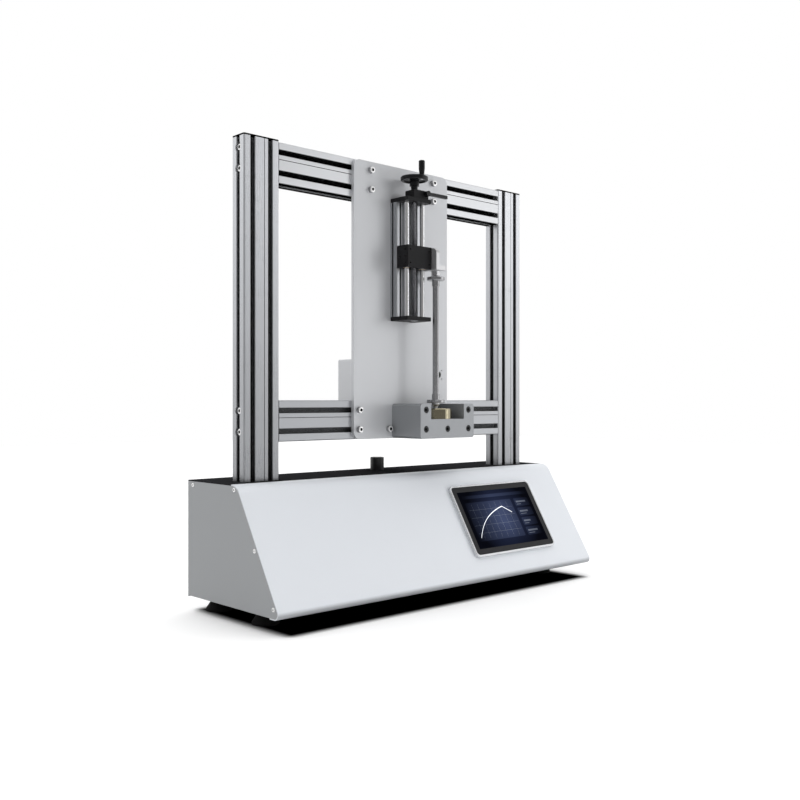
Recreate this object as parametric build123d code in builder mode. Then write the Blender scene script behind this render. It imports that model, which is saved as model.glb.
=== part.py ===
from build123d import *
import os
from math import asin, atan2, cos, degrees, hypot, radians, sin, tan

# Bench-top universal testing machine: a sheet-metal base with a sloped touch screen, a frame of slotted
# profiles, a hand-cranked vertical stage that lowers a push rod onto a load cell, and a driven ram.
# Frame: +X right, -Y front, +Z up, origin on the floor under the middle of the base. Millimetres.

os.makedirs("parts", exist_ok=True)

# Base
base_width = 880.0
base_depth = 298.0
base_height = 223.6
ground_gap = 29.0
deck_length = 168.3
nose_radius = 10.6
bend_radius = 30.0
least_radius = 1.0
lip_length = 25.0
flange_length = 7.0
cover_overlap = 1.5
sheet = 2.0
rear_proud = 3.0
floor_thickness = 10.0
end_frame_thickness = 3.0
end_frame_width = 18.0
rail_size = 20.0

# Feet
foot_inset = 50.0
foot_setback = 108.5
foot_rear_inset = 30.5
foot_radius = 25.0
foot_edge = 5.0
foot_neck_radius = 11.0
foot_neck_length = 6.0
foot_stud = 8.0

# Sheet screws
sheet_screw = 4.0
sheet_screw_head = 8.0
sheet_screw_head_height = 1.5
sheet_screw_length = 6.0
sheet_screw_taper = 25.0
panel_screw_margin = 9.0
rear_screw_margin = 14.0

# Touch screen on the slope
screen_margin = 105.5
screen_rise = 6.2
screen_width = 260.0
screen_height = 165.0
screen_corner = 12.0
screen_proud = 7.0
screen_rim = 4.0
screen_rim_round = 2.0
screen_glass_recess = 0.8
screen_tray = 2.0
screen_body_inset = 13.0
screen_body_depth = 30.0
screen_cutout_gap = 1.0

# Slotted profile, two square cells side by side
module = 40.0
profile_corner = 3.0
slot_mouth = 10.0
slot_edge = 0.8
slot_lip = 4.5
slot_cavity = 20.0
slot_shoulder = 8.0
slot_floor = 11.0
slot_depth = 12.25
hollow_width = 12.0
hollow_height = 25.0
hollow_round = 2.0
groove_offset = 6.0
groove_width = 1.2
groove_depth = 0.8

# Frame of profiles
column_inset = 45.0
column_setback = 123.5
column_length = 860.0
column_gap = 0.3
cap_thickness = 3.0
lower_beam_rise = 112.9

# M8 socket cap screws and the nuts in the slots
m8 = 8.0
m8_head = 13.0
m8_head_height = 8.0
m8_key = 6.0
m8_key_depth = 4.0
m8_hole_gap = 0.5
m8_access_gap = 2.5
m8_washer = 16.0
m8_washer_hole = 8.4
m8_washer_thickness = 1.6
m8_slot_reach = 9.5
m8_core_reach = 22.0
recess_gap = 0.5
nut_length = 16.0
nut_gap = 0.5
thread_gap = 0.05

# Mounting plate
plate_width = 270.0
plate_thickness = 8.0
plate_drop = 2.0
plate_corner = 16.0
plate_screw_inset = 45.0
plate_edge_screw_inset = 13.4
plate_low_screw_gap = 10.0
socket_inset = 25.4
socket_rise = 96.3
socket_diameter = 14.0
socket_flange = 26.0
socket_flange_thickness = 3.0
socket_rear_length = 14.0
socket_recess = 1.5
socket_screw_pitch = 18.0
socket_screw_hole = 3.2

# Housing behind the lower beam
rear_box_width = 144.0
rear_box_depth = 80.0
rear_box_drop = 35.5
rear_box_height = 164.0
rear_box_wall = 3.0
rear_box_lid = 2.0
rear_box_corner = 4.0
rear_box_screw_x = 40.0

# Hand-cranked stage
stage_width = 70.0
stage_depth = 52.0
stage_drop = 72.0
stage_length = 256.7
stage_plate = 8.3
stage_corner = 2.0
rail_depth = 19.0
rail_groove = 4.0
rail_groove_inset = 7.5
rail_slot_x = 24.0
rail_channel = 18.0
rail_channel_depth = 2.0
rod_diameter = 10.0
rod_inset = 12.5
rod_seat = 5.0
screw_standoff = 36.8
screw_diameter = 10.0
screw_journal = 8.0
screw_end_gap = 0.5
bearing_diameter = 16.0
bearing_thickness = 5.0
journal_gap = 0.05
journal_hole_gap = 1.0
stage_screw_x = 20.0
stage_screw_spread = 160.0
m6 = 6.0
m6_head = 10.0
m6_head_height = 6.0
m6_key = 5.0
m6_key_depth = 3.0
m6_reach = 14.0

# Clamp, lever, handwheel and crank
clamp_size = 27.0
clamp_height = 17.0
clamp_ear = 14.5
clamp_slit = 2.0
clamp_edge = 1.5
lever_inset = 6.5
lever_rise = 10.5
lever_stud = 6.0
lever_hub = 12.0
lever_hub_length = 9.5
lever_length = 58.0
lever_root = 6.4
lever_tip = 7.0
lever_round = 1.5
lever_thickness = 6.0
lever_setback = 2.4
running_gap = 0.3
wheel_diameter = 58.0
wheel_gap = 0.5
wheel_neck = 14.0
wheel_neck_length = 9.0
wheel_hub = 20.0
wheel_rise = 20.6
wheel_rim_height = 8.8
wheel_rim_width = 6.0
wheel_rim_edge = 1.4
wheel_web = 4.0
crank_inset = 6.6
crank_boss = 12.0
crank_stud_diameter = 6.0
crank_stud_head = 9.0
crank_stud_head_height = 2.0
crank_length = 30.0
crank_grip = 13.0
crank_grip_length = 17.0
crank_neck = 10.0
crank_edge = 1.2
crank_gap = 0.4

# Carriage, bracket and push rod
carriage_depth = 33.6
carriage_height = 46.0
carriage_rest = 109.7
carriage_corner = 2.0
bush_diameter = 16.0
bush_length = 15.0
nut_diameter = 18.0
lead_nut_length = 30.0
face_hole = 3.4
face_hole_depth = 8.0
face_hole_pitch_x = 54.0
face_hole_pitch_z = 28.0
side_hole_front = 7.5
side_hole_rear = 25.0
m5 = 5.0
m5_head = 8.5
m5_head_height = 5.0
m5_key = 4.0
m5_key_depth = 2.5
m5_reach = 5.0
bracket_web = 9.5
bracket_rear_reach = 26.8
bracket_front_reach = 16.8
bracket_round = 12.0
bracket_foot_width = 30.0
bracket_foot_depth = 31.6
bracket_foot = 10.0
bracket_foot_round = 4.0
bracket_drop = 1.0
train_gap = 14.5
train_standoff = 50.8
rod_collar = 38.0
rod_collar_thickness = 7.0
rod_collar_edge = 0.8
rod_hub = 16.4
rod_hub_length = 12.0
push_rod_diameter = 13.4
rod_end_wall = 2.0
stud_diameter = 10.0
stud_hex = 17.0
stud_hex_length = 11.0
stud_gap = 3.0
nose_diameter = 17.0
nose_length = 11.2
nose_tip = 8.0
nose_tip_length = 3.7
nose_band = 2.8
contact_gap = 0.3

# Load cell and its block
block_width = 159.0
block_depth = 86.8
block_drop = 39.5
block_height = 72.0
block_edge = 4.0
pocket_width = 98.0
pocket_sill = 40.0
block_screw_margin = 14.0
block_recess = 9.0
cell_diameter = 68.0
cell_height = 22.0
cell_gap = 4.8
cell_rim = 8.0
cell_dish = 3.0
cell_button = 16.0
cell_edge = 1.5

# Driven ram
ram_diameter = 30.0
ram_proud = 28.6
ram_rest = 40.2
ram_edge = 1.5
ram_crown = 30.0
ram_bore = 16.0
ram_hole_gap = 1.0
ram_nut_diameter = 22.0
ram_nut_length = 20.0
ram_nut_flange = 6.0
ram_guide_diameter = 44.0
ram_guide_length = 42.0
ram_guide_flange = 8.0
drive_width = 90.0
drive_depth = 80.0
drive_wall = 6.0
drive_gap = 0.5
drive_window = 50.0
drive_window_height = 100.0
drive_window_sill = 60.0
motor_size = 57.0
motor_corner = 5.0
motor_length = 70.0
drive_screw_diameter = 12.0
drive_journal = 8.0
drive_journal_depth = 20.0
drive_screw_gap = 4.0
drive_screw_top = 16.0

# Electrics
inlet_inset = 140.0
inlet_z = 110.0
inlet_width = 48.0
inlet_height = 74.0
inlet_flange = 1.5
inlet_corner = 3.0
inlet_body_inset = 3.0
inlet_body_depth = 32.0
inlet_socket_width = 27.0
inlet_socket_height = 19.0
inlet_socket_depth = 20.0
inlet_socket_drop = 15.0
pin_width = 2.0
pin_height = 4.5
pin_length = 15.0
pin_pitch = 7.0
pin_drop = 4.0
rocker_width = 20.0
rocker_height = 26.0
rocker_rise = 17.0
rocker_gap = 1.0
rocker_depth = 9.0
rocker_tilt = 7.0
rocker_pin = 3.0
vent_width = 4.0
vent_height = 56.0
vent_pitch = 11.0
vent_count = 12
vent_z = 150.0
vent_inset = 240.0
supply_width = 160.0
supply_depth = 98.0
supply_height = 42.0
supply_gap = 20.0
supply_setback = 66.0
supply_shell = 1.5
supply_vent_width = 3.0
supply_vent_pitch = 9.0
supply_vent_count = 12
board_width = 150.0
board_depth = 100.0
board_thickness = 1.6
board_gap = 30.0
board_setback = 76.0
board_margin = 6.0
board_rise = 10.0
board_boss = 8.0
board_hole = 3.2
chip_size = 30.0
chip_height = 8.0
terminal_length = 90.0
terminal_depth = 12.0
terminal_height = 14.0

# Lines of the base that follow from its sizes
nose_y = -base_depth / 2
rear_y = base_depth / 2 - rear_proud
bend_y = rear_y - deck_length
nose_centre_y = nose_y + nose_radius
nose_to_bend = bend_y - nose_centre_y
nose_to_deck = base_height - nose_radius
slope_angle = degrees(atan2(nose_to_bend, nose_to_deck) + asin(nose_radius / hypot(nose_to_bend, nose_to_deck)))
slope_run = tan(radians(slope_angle))
slope_lean = cos(radians(slope_angle))
corner_half_tan = tan(radians(90 - slope_angle) / 2)
deck_top = ground_gap + base_height
deck_bottom = deck_top - sheet
floor_bottom = ground_gap + sheet
floor_top = floor_bottom + floor_thickness
corner_y = bend_y - base_height * slope_run
bend_end_y = bend_y + bend_radius * corner_half_tan
deck_front = bend_end_y + cover_overlap
panel_x = base_width / 2 - sheet
end_frame_x = panel_x - end_frame_thickness
foot_x = base_width / 2 - foot_inset
foot_front_y = nose_y + foot_setback
foot_rear_y = rear_y - foot_rear_inset
screen_x = base_width / 2 - screen_margin - screen_width / 2
screen_z = ground_gap + base_height / 2 + screen_rise

# Lines of the frame
profile_width = 2 * module
core_bore = m8 + 2 * thread_gap
m8_hole = m8 + 2 * m8_hole_gap
m8_access = m8_head + 2 * m8_access_gap
column_outer = base_width / 2 - column_inset
column_front = rear_y - column_setback
column_top = floor_top + column_length
lower_beam_z = deck_top + lower_beam_rise
column_x = column_outer - module
column_inner = column_outer - profile_width
frame_y = column_front + module / 2
frame_back = column_front + module
beam_length = 2 * column_inner
upper_beam_z = column_top - module
joint_heights = [
    beam_z + step * module / 2 for beam_z in (upper_beam_z, lower_beam_z) for step in (1, -1)
]
upper_slots = joint_heights[:2]
lower_slots = joint_heights[2:]

# Lines of the stage and the load train
plate_front = column_front - plate_thickness
plate_bottom = lower_beam_z - module
plate_top = column_top - plate_drop
stage_top = column_top - stage_drop
stage_bottom = stage_top - stage_length
stage_low = stage_bottom + stage_plate
stage_high = stage_top - stage_plate
rod_x = stage_width / 2 - rod_inset
screw_y = plate_front - screw_standoff
clamp_top = stage_top + clamp_height
clamp_front = screw_y - clamp_size / 2
lever_x = clamp_size / 2 + lever_inset
lever_z = stage_top + lever_rise
wheel_rim_bottom = clamp_top + wheel_rise
wheel_top = wheel_rim_bottom + wheel_rim_height
wheel_web_top = wheel_rim_bottom + (wheel_rim_height + wheel_web) / 2
crank_y = screw_y - (wheel_diameter / 2 - crank_inset)
crank_bottom = wheel_top + crank_gap
carriage_bottom = stage_bottom + carriage_rest
carriage_top = carriage_bottom + carriage_height
carriage_front = screw_y - carriage_depth / 2
carriage_middle = carriage_bottom + carriage_height / 2
train_x = stage_width / 2 + train_gap
train_y = plate_front - train_standoff
bracket_front = train_y - bracket_front_reach
bracket_rear = train_y + bracket_rear_reach
foot_bottom = carriage_bottom - bracket_drop
hex_bottom = foot_bottom - stud_hex_length
upper_collar_top = hex_bottom - stud_gap
upper_collar_bottom = upper_collar_top - rod_collar_thickness
block_bottom = lower_beam_z - block_drop
pocket_floor = block_bottom + pocket_sill
pocket_rear = train_y + cell_diameter / 2 + cell_gap
cell_top = pocket_floor + cell_height
nose_bottom = cell_top + contact_gap
lower_collar_bottom = nose_bottom + nose_length
lower_collar_top = lower_collar_bottom + rod_collar_thickness
block_front = plate_front - block_depth

# Lines of the ram drive, the electrics and what stands behind the plate
motor_top = floor_top + motor_length
ram_y = rear_y - sheet - flange_length - drive_gap - drive_depth / 2
ram_top = deck_top + ram_proud
ram_bottom = motor_top + ram_rest
ram_length = ram_top - ram_bottom
supply_x = supply_gap + supply_width / 2 - column_inner
supply_y = rear_y - supply_setback
board_x = column_inner - board_gap - board_width / 2
board_y = rear_y - board_setback
plate_screw_x = plate_width / 2 - plate_screw_inset
plate_edge_screw_x = plate_edge_screw_inset - plate_width / 2
plate_low_screw_x = train_x - block_width / 2 - plate_low_screw_gap
block_screw_x = pocket_width / 2 + block_screw_margin
socket_x = plate_width / 2 - socket_inset
socket_z = lower_beam_z + socket_rise
rear_box_bottom = lower_beam_z - rear_box_drop


def slope_y(z, inset):
    """Front slope's Y at height z, moved inwards by inset."""
    return corner_y + (z - ground_gap) * slope_run + inset / slope_lean


def base_outline(inset):
    """Side outline of the base, local x along Y and local y along Z, shrunk by inset."""
    bottom = ground_gap + inset
    top = deck_top - inset
    rear = rear_y - inset
    with BuildSketch() as outline:
        Polygon(
            (slope_y(bottom, inset), bottom),
            (rear, bottom),
            (rear, top),
            (slope_y(top, inset), top),
            align=None,
        )
        bend = outline.vertices().group_by(Axis.Y)[-1].sort_by(Axis.X)[0]
        fillet(bend, max(bend_radius - inset, least_radius))
        fillet(outline.vertices().sort_by(Axis.X)[0], max(nose_radius - inset, least_radius))
    return outline.sketch_local


def facing_front(y):
    """Plane that faces the front at depth y, local x along X and local y along Z."""
    return Plane(origin=(0, y, 0), x_dir=(1, 0, 0), z_dir=(0, -1, 0))


def facing_rear(y):
    """Plane that faces the rear at depth y, local x along -X and local y along Z."""
    return Plane(origin=(0, y, 0), x_dir=(-1, 0, 0), z_dir=(0, 1, 0))


def facing_side(x, y, side):
    """Plane that faces left or right, local x along Y times side and local y along Z."""
    return Plane(origin=(x, y, 0), x_dir=(0, side, 0), z_dir=(side, 0, 0))


def facing_up(x, y, z):
    """Plane that faces up at a point."""
    return Plane(origin=(x, y, z), x_dir=(1, 0, 0), z_dir=(0, 0, 1))


def turning_plane(x, y):
    """Upright plane through a vertical axis, local x outwards and local y along Z."""
    return Plane(origin=(x, y, 0), x_dir=(1, 0, 0), z_dir=(0, -1, 0))


def discs(plane, places, diameter):
    """Round faces of one diameter at local places on a plane."""
    with BuildSketch(plane) as faces:
        with Locations(*places):
            Circle(diameter / 2)
    return faces.sketch


def hexagons(plane, places, across):
    """Six-sided faces, across flats, at local places on a plane."""
    with BuildSketch(plane) as faces:
        with Locations(*places):
            RegularPolygon(across / 2, 6, major_radius=False)
    return faces.sketch


def cap_screws(seat, places, sizes, length):
    """Socket cap screws with their heads on the seat plane and their shanks behind it."""
    shank, head, head_height, key, key_depth = sizes
    extrude(discs(seat, places, head), amount=head_height)
    extrude(discs(seat, places, shank), amount=-length)
    extrude(hexagons(seat.offset(head_height), places, key), amount=-key_depth, mode=Mode.SUBTRACT)


m8_sizes = (m8, m8_head, m8_head_height, m8_key, m8_key_depth)
m6_sizes = (m6, m6_head, m6_head_height, m6_key, m6_key_depth)
m5_sizes = (m5, m5_head, m5_head_height, m5_key, m5_key_depth)

# Fastener places
panel_screws = [
    (rear_y - 2 * panel_screw_margin, deck_top - panel_screw_margin),
    (bend_end_y - panel_screw_margin, deck_top - panel_screw_margin),
    (slope_y(ground_gap + base_height / 2, panel_screw_margin), ground_gap + base_height / 2),
    (slope_y(ground_gap + 2 * panel_screw_margin, panel_screw_margin), ground_gap + 2 * panel_screw_margin),
]
rear_screws = [
    (x * (end_frame_x - rear_screw_margin), z)
    for x in (-1, 0, 1)
    for z in (floor_top + rear_screw_margin, deck_bottom - rear_screw_margin)
]
feet = [(x, y) for x in (-foot_x, foot_x) for y in (foot_front_y, foot_rear_y)]
anchors = [(side * column_x + step * module / 2, frame_y) for side in (-1, 1) for step in (-1, 1)]
plate_screws_at = [(x, z) for x in (-plate_screw_x, plate_screw_x) for z in upper_slots]
plate_screws_at += [(plate_edge_screw_x, z) for z in lower_slots]
plate_screws_at += [(plate_low_screw_x, lower_slots[1])]
block_screws_at = [(train_x + step * block_screw_x, lower_slots[1]) for step in (-1, 0, 1)]
block_screws_at += [(train_x + step * block_screw_x, lower_slots[0]) for step in (-1, 1)]
rear_box_screws_at = [(x, z) for x in (-rear_box_screw_x, rear_box_screw_x) for z in lower_slots]
stage_screws_at = [
    (x, (stage_low + stage_high + z) / 2)
    for x in (-stage_screw_x, stage_screw_x)
    for z in (-stage_screw_spread, stage_screw_spread)
]
socket_screws_at = [
    (socket_x + x * socket_screw_pitch / 2, socket_z + z * socket_screw_pitch / 2)
    for x in (-1, 1)
    for z in (-1, 1)
]
board_holes = [
    (
        board_x + x * (board_width / 2 - board_margin),
        board_y + y * (board_depth / 2 - board_margin),
    )
    for x in (-1, 1)
    for y in (-1, 1)
]
bracket_screws_at = [
    (carriage_front + side_hole_front, carriage_middle + face_hole_pitch_z / 2),
    (carriage_front + side_hole_front, carriage_middle),
    (carriage_front + side_hole_rear, carriage_middle),
]

# Floor plate, with recessed holes for the column screws and bosses for the control board
floor_front = nose_centre_y + sheet
with BuildPart() as floor_plate:
    with BuildSketch(Plane.XY.offset(floor_bottom)):
        with Locations((0, floor_front)):
            Rectangle(2 * end_frame_x, rear_y - sheet - floor_front, align=(Align.CENTER, Align.MIN))
        with Locations(*feet):
            Circle(foot_stud / 2 + thread_gap, mode=Mode.SUBTRACT)
        with Locations(*anchors):
            Circle(m8_hole / 2, mode=Mode.SUBTRACT)
    extrude(amount=floor_thickness)
    extrude(
        discs(Plane.XY.offset(floor_bottom), anchors, m8_head + 2 * recess_gap),
        amount=m8_head_height + recess_gap,
        mode=Mode.SUBTRACT,
    )
    extrude(discs(Plane.XY.offset(floor_top), board_holes, board_boss), amount=board_rise)
floor_plate.part.label = "floor_plate"
export_step(floor_plate.part, "parts/floor_plate.step")

# Front cover: one bent sheet from the lip under the nose, up the slope, to the deck
screen_plane = Plane(
    origin=(screen_x, slope_y(screen_z, 0), screen_z),
    x_dir=(1, 0, 0),
    z_dir=(0, -slope_lean, sin(radians(slope_angle))),
)
screen_body_width = screen_width - 2 * screen_body_inset
screen_body_height = screen_height - 2 * screen_body_inset
with BuildPart() as front_cover:
    with BuildSketch(Plane.YZ.offset(-base_width / 2)):
        add(base_outline(0))
        add(base_outline(sheet), mode=Mode.SUBTRACT)
        with Locations((deck_front, ground_gap)):
            Rectangle(base_depth, base_height, align=(Align.MIN, Align.MIN), mode=Mode.SUBTRACT)
        with Locations((nose_y + lip_length, ground_gap)):
            Rectangle(base_depth, 2 * sheet, align=(Align.MIN, Align.CENTER), mode=Mode.SUBTRACT)
    extrude(amount=base_width)
    with BuildSketch(screen_plane):
        Rectangle(screen_body_width + 2 * screen_cutout_gap, screen_body_height + 2 * screen_cutout_gap)
    extrude(amount=2 * sheet, both=True, mode=Mode.SUBTRACT)
front_cover.part.label = "front_cover"
export_step(front_cover.part, "parts/front_cover.step")

# Deck, with openings for the columns and the ram
with BuildPart() as top_deck:
    with BuildSketch(Plane.XY.offset(deck_bottom)):
        with Locations((0, deck_front)):
            Rectangle(base_width, rear_y - deck_front, align=(Align.CENTER, Align.MIN))
        with Locations((-column_x, frame_y), (column_x, frame_y)):
            Rectangle(profile_width + 2 * column_gap, module + 2 * column_gap, mode=Mode.SUBTRACT)
        with Locations((0, ram_y)):
            Circle(ram_diameter / 2 + ram_hole_gap, mode=Mode.SUBTRACT)
    extrude(amount=sheet)
top_deck.part.label = "top_deck"
export_step(top_deck.part, "parts/top_deck.step")

# Side panels, set inside the edge of the bent cover
for name, start in (("left_side_panel", -base_width / 2), ("right_side_panel", panel_x)):
    with BuildPart() as side_panel:
        with BuildSketch(Plane.YZ.offset(start)):
            add(base_outline(sheet))
            with Locations(*panel_screws):
                Circle(sheet_screw / 2 + thread_gap, mode=Mode.SUBTRACT)
        extrude(amount=sheet)
    side_panel.part.label = name
    export_step(side_panel.part, f"parts/{name}.step")

# Inner frame: an end frame behind each side panel and a rail under the joint of cover and deck
with BuildPart() as inner_frame:
    for start in (-panel_x, end_frame_x):
        with BuildSketch(Plane.YZ.offset(start)):
            add(base_outline(sheet))
            add(base_outline(sheet + end_frame_width), mode=Mode.SUBTRACT)
            with Locations(*panel_screws):
                Circle(sheet_screw / 2 + thread_gap, mode=Mode.SUBTRACT)
        extrude(amount=end_frame_thickness)
    with BuildSketch(Plane.YZ.offset(-panel_x)):
        with Locations((bend_end_y, deck_bottom)):
            Rectangle(rail_size, rail_size, align=(Align.MIN, Align.MAX))
        with Locations((bend_end_y + rail_size / 2, deck_bottom - rail_size / 2)):
            Rectangle(rail_size - 2 * sheet, rail_size - 2 * sheet, mode=Mode.SUBTRACT)
    extrude(amount=2 * panel_x)
inner_frame.part.label = "inner_frame"
export_step(inner_frame.part, "parts/inner_frame.step")

# Rear panel with a lip under the floor plate, a flange under the deck and two fields of vent slots
vent_x = base_width / 2 - vent_inset
inlet_x = base_width / 2 - inlet_inset
inlet_body_width = inlet_width - 2 * inlet_body_inset
inlet_body_height = inlet_height - 2 * inlet_body_inset
with BuildPart() as rear_panel:
    with BuildSketch(facing_rear(rear_y - sheet)):
        with Locations((0, ground_gap)):
            Rectangle(base_width, deck_bottom - ground_gap, align=(Align.CENTER, Align.MIN))
        for x in (-vent_x, vent_x):
            with Locations((x, vent_z)):
                with GridLocations(vent_pitch, 0, vent_count, 1):
                    SlotOverall(vent_height, vent_width, rotation=90, mode=Mode.SUBTRACT)
        with Locations((-inlet_x, inlet_z)):
            Rectangle(inlet_body_width + 2 * recess_gap, inlet_body_height + 2 * recess_gap, mode=Mode.SUBTRACT)
        with Locations(*rear_screws):
            Circle(sheet_screw / 2 + thread_gap, mode=Mode.SUBTRACT)
    extrude(amount=sheet)
    with BuildSketch(Plane.YZ.offset(-end_frame_x)):
        with Locations((rear_y - sheet, ground_gap)):
            Rectangle(flange_length, sheet, align=(Align.MAX, Align.MIN))
        with Locations((rear_y - sheet, deck_bottom)):
            Rectangle(flange_length, sheet, align=(Align.MAX, Align.MAX))
    extrude(amount=2 * end_frame_x)
rear_panel.part.label = "rear_panel"
export_step(rear_panel.part, "parts/rear_panel.step")

# Screws of the side panels and of the rear panel
with BuildPart() as side_panel_screws:
    for side in (-1, 1):
        seat = facing_side(side * base_width / 2, 0, side)
        places = [(side * y, z) for y, z in panel_screws]
        extrude(
            discs(seat, places, sheet_screw_head), amount=sheet_screw_head_height, taper=sheet_screw_taper
        )
        extrude(discs(seat, places, sheet_screw), amount=-sheet_screw_length)
side_panel_screws.part.label = "side_panel_screws"
export_step(side_panel_screws.part, "parts/side_panel_screws.step")

with BuildPart() as rear_panel_screws:
    seat = facing_rear(rear_y)
    extrude(
        discs(seat, rear_screws, sheet_screw_head), amount=sheet_screw_head_height, taper=sheet_screw_taper
    )
    extrude(discs(seat, rear_screws, sheet_screw), amount=-sheet_screw_length)
rear_panel_screws.part.label = "rear_panel_screws"
export_step(rear_panel_screws.part, "parts/rear_panel_screws.step")

# Flared feet, each with a stud that screws into the floor plate
with BuildPart() as foot:
    with BuildSketch(Plane.XZ):
        with BuildLine():
            base_line = Polyline((0, floor_top), (0, 0), (foot_radius, 0), (foot_radius, foot_edge))
            Polyline(
                base_line @ 1,
                (foot_neck_radius, floor_bottom - foot_neck_length),
                (foot_neck_radius, floor_bottom),
                (foot_stud / 2, floor_bottom),
                (foot_stud / 2, floor_top),
                (0, floor_top),
            )
        make_face()
    revolve(axis=Axis.Z)
with BuildPart() as rubber_feet:
    with Locations(*feet):
        add(foot.part)
rubber_feet.part.label = "rubber_feet"
export_step(rubber_feet.part, "parts/rubber_feet.step")

# Touch screen: a proud rim, the glass inside it and the housing behind the cover
glass_width = screen_width - 2 * screen_rim
glass_height = screen_height - 2 * screen_rim
glass_corner = screen_corner - screen_rim
with BuildPart() as screen_rim_part:
    with BuildSketch(screen_plane):
        RectangleRounded(screen_width, screen_height, screen_corner)
        RectangleRounded(glass_width, glass_height, glass_corner, mode=Mode.SUBTRACT)
    extrude(amount=screen_proud)
    outer_edges = screen_rim_part.faces().sort_by(Axis(screen_plane.origin, screen_plane.z_dir))[-1]
    fillet(outer_edges.outer_wire().edges(), screen_rim_round)
screen_rim_part.part.label = "screen_rim"
export_step(screen_rim_part.part, "parts/screen_rim.step")

with BuildPart() as screen_glass:
    with BuildSketch(screen_plane.offset(screen_tray)):
        RectangleRounded(glass_width - 2 * thread_gap, glass_height - 2 * thread_gap, glass_corner)
    extrude(amount=screen_proud - screen_tray - screen_glass_recess)
screen_glass.part.label = "screen_glass"
export_step(screen_glass.part, "parts/screen_glass.step")

with BuildPart() as screen_housing:
    with BuildSketch(screen_plane):
        RectangleRounded(glass_width - 2 * thread_gap, glass_height - 2 * thread_gap, glass_corner)
    extrude(amount=screen_tray)
    with BuildSketch(screen_plane):
        Rectangle(screen_body_width, screen_body_height)
    extrude(amount=-screen_body_depth)
screen_housing.part.label = "screen_housing"
export_step(screen_housing.part, "parts/screen_housing.step")

# Power inlet with its socket, three pins and a pocket for the rocker
inlet_mid_y = rear_y + inlet_flange
rocker_z = inlet_z + rocker_rise
socket_mid_z = inlet_z - inlet_socket_drop
with BuildPart() as power_inlet:
    with BuildSketch(facing_rear(rear_y)):
        with Locations((-inlet_x, inlet_z)):
            RectangleRounded(inlet_width, inlet_height, inlet_corner)
    extrude(amount=inlet_flange)
    with BuildSketch(facing_rear(rear_y)):
        with Locations((-inlet_x, inlet_z)):
            Rectangle(inlet_body_width, inlet_body_height)
    extrude(amount=-inlet_body_depth)
    with BuildSketch(facing_rear(inlet_mid_y)):
        with Locations((-inlet_x, socket_mid_z)):
            Rectangle(inlet_socket_width, inlet_socket_height)
        with Locations((-inlet_x, rocker_z)):
            Rectangle(rocker_width + 2 * rocker_gap, rocker_height + 2 * rocker_gap)
    extrude(amount=-inlet_socket_depth, mode=Mode.SUBTRACT)
    with BuildSketch(facing_rear(inlet_mid_y - inlet_socket_depth)):
        with Locations(
            (-inlet_x - pin_pitch, socket_mid_z - pin_drop / 2),
            (-inlet_x + pin_pitch, socket_mid_z - pin_drop / 2),
            (-inlet_x, socket_mid_z + pin_drop / 2),
        ):
            Rectangle(pin_width, pin_height)
    extrude(amount=pin_length)
    rocker_axis_y = rear_y - rocker_depth / 2
    with Locations(Plane(origin=(inlet_x, rocker_axis_y, rocker_z), z_dir=(1, 0, 0))):
        Cylinder(rocker_pin / 2, rocker_width + 4 * rocker_gap)
power_inlet.part.label = "power_inlet"
export_step(power_inlet.part, "parts/power_inlet.step")

# Rocker, at rest with its lower edge pressed in, turning on the pin across the pocket
rocker_axis = Axis((inlet_x, rocker_axis_y, rocker_z), (1, 0, 0))
with BuildPart() as switch_rocker:
    with BuildSketch(Plane.YZ.offset(inlet_x - rocker_width / 2)):
        with BuildLine():
            Polyline(
                (rocker_axis_y - rocker_depth / 2, rocker_z - rocker_height / 4),
                (rocker_axis_y, rocker_z - rocker_height / 2 + rocker_gap),
                (rocker_axis_y + rocker_depth / 2 + inlet_flange, rocker_z - rocker_height / 2 + rocker_gap),
                (rocker_axis_y + rocker_depth / 2, rocker_z),
                (rocker_axis_y + rocker_depth / 2 + inlet_flange, rocker_z + rocker_height / 2 - rocker_gap),
                (rocker_axis_y, rocker_z + rocker_height / 2 - rocker_gap),
                (rocker_axis_y - rocker_depth / 2, rocker_z + rocker_height / 4),
                close=True,
            )
        make_face()
    extrude(amount=rocker_width)
    with Locations(Plane(origin=rocker_axis.position, z_dir=rocker_axis.direction)):
        Hole(rocker_pin / 2 + journal_gap)
switch_rocker.part = switch_rocker.part.rotate(rocker_axis, -rocker_tilt)
switch_rocker.part.label = "switch_rocker"
export_step(switch_rocker.part, "parts/switch_rocker.step")

# Power supply: a closed box with slotted ends, on the floor plate
with BuildPart() as power_supply:
    with Locations((supply_x, supply_y, floor_top)):
        Box(supply_width, supply_depth, supply_height, align=(Align.CENTER, Align.CENTER, Align.MIN))
    with BuildSketch(facing_up(supply_x, supply_y, floor_top + supply_height)):
        with GridLocations(supply_vent_pitch, 0, supply_vent_count, 1):
            SlotOverall(supply_depth / 2, supply_vent_width, rotation=90)
    extrude(amount=-supply_shell, mode=Mode.SUBTRACT)
power_supply.part.label = "power_supply"
export_step(power_supply.part, "parts/power_supply.step")

# Control board with its processor and a terminal strip, on the floor plate's bosses
board_bottom = floor_top + board_rise
with BuildPart() as control_board:
    with BuildSketch(Plane.XY.offset(board_bottom)):
        with Locations((board_x, board_y)):
            Rectangle(board_width, board_depth)
        with Locations(*board_holes):
            Circle(board_hole / 2, mode=Mode.SUBTRACT)
    extrude(amount=board_thickness)
    board_top = board_bottom + board_thickness
    with Locations((board_x, board_y, board_top)):
        Box(chip_size, chip_size, chip_height, align=(Align.CENTER, Align.CENTER, Align.MIN))
    with Locations((board_x, board_y + board_depth / 2 - terminal_depth, board_top)):
        Box(terminal_length, terminal_depth, terminal_height, align=(Align.CENTER, Align.CENTER, Align.MIN))
control_board.part.label = "control_board"
export_step(control_board.part, "parts/control_board.step")

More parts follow.
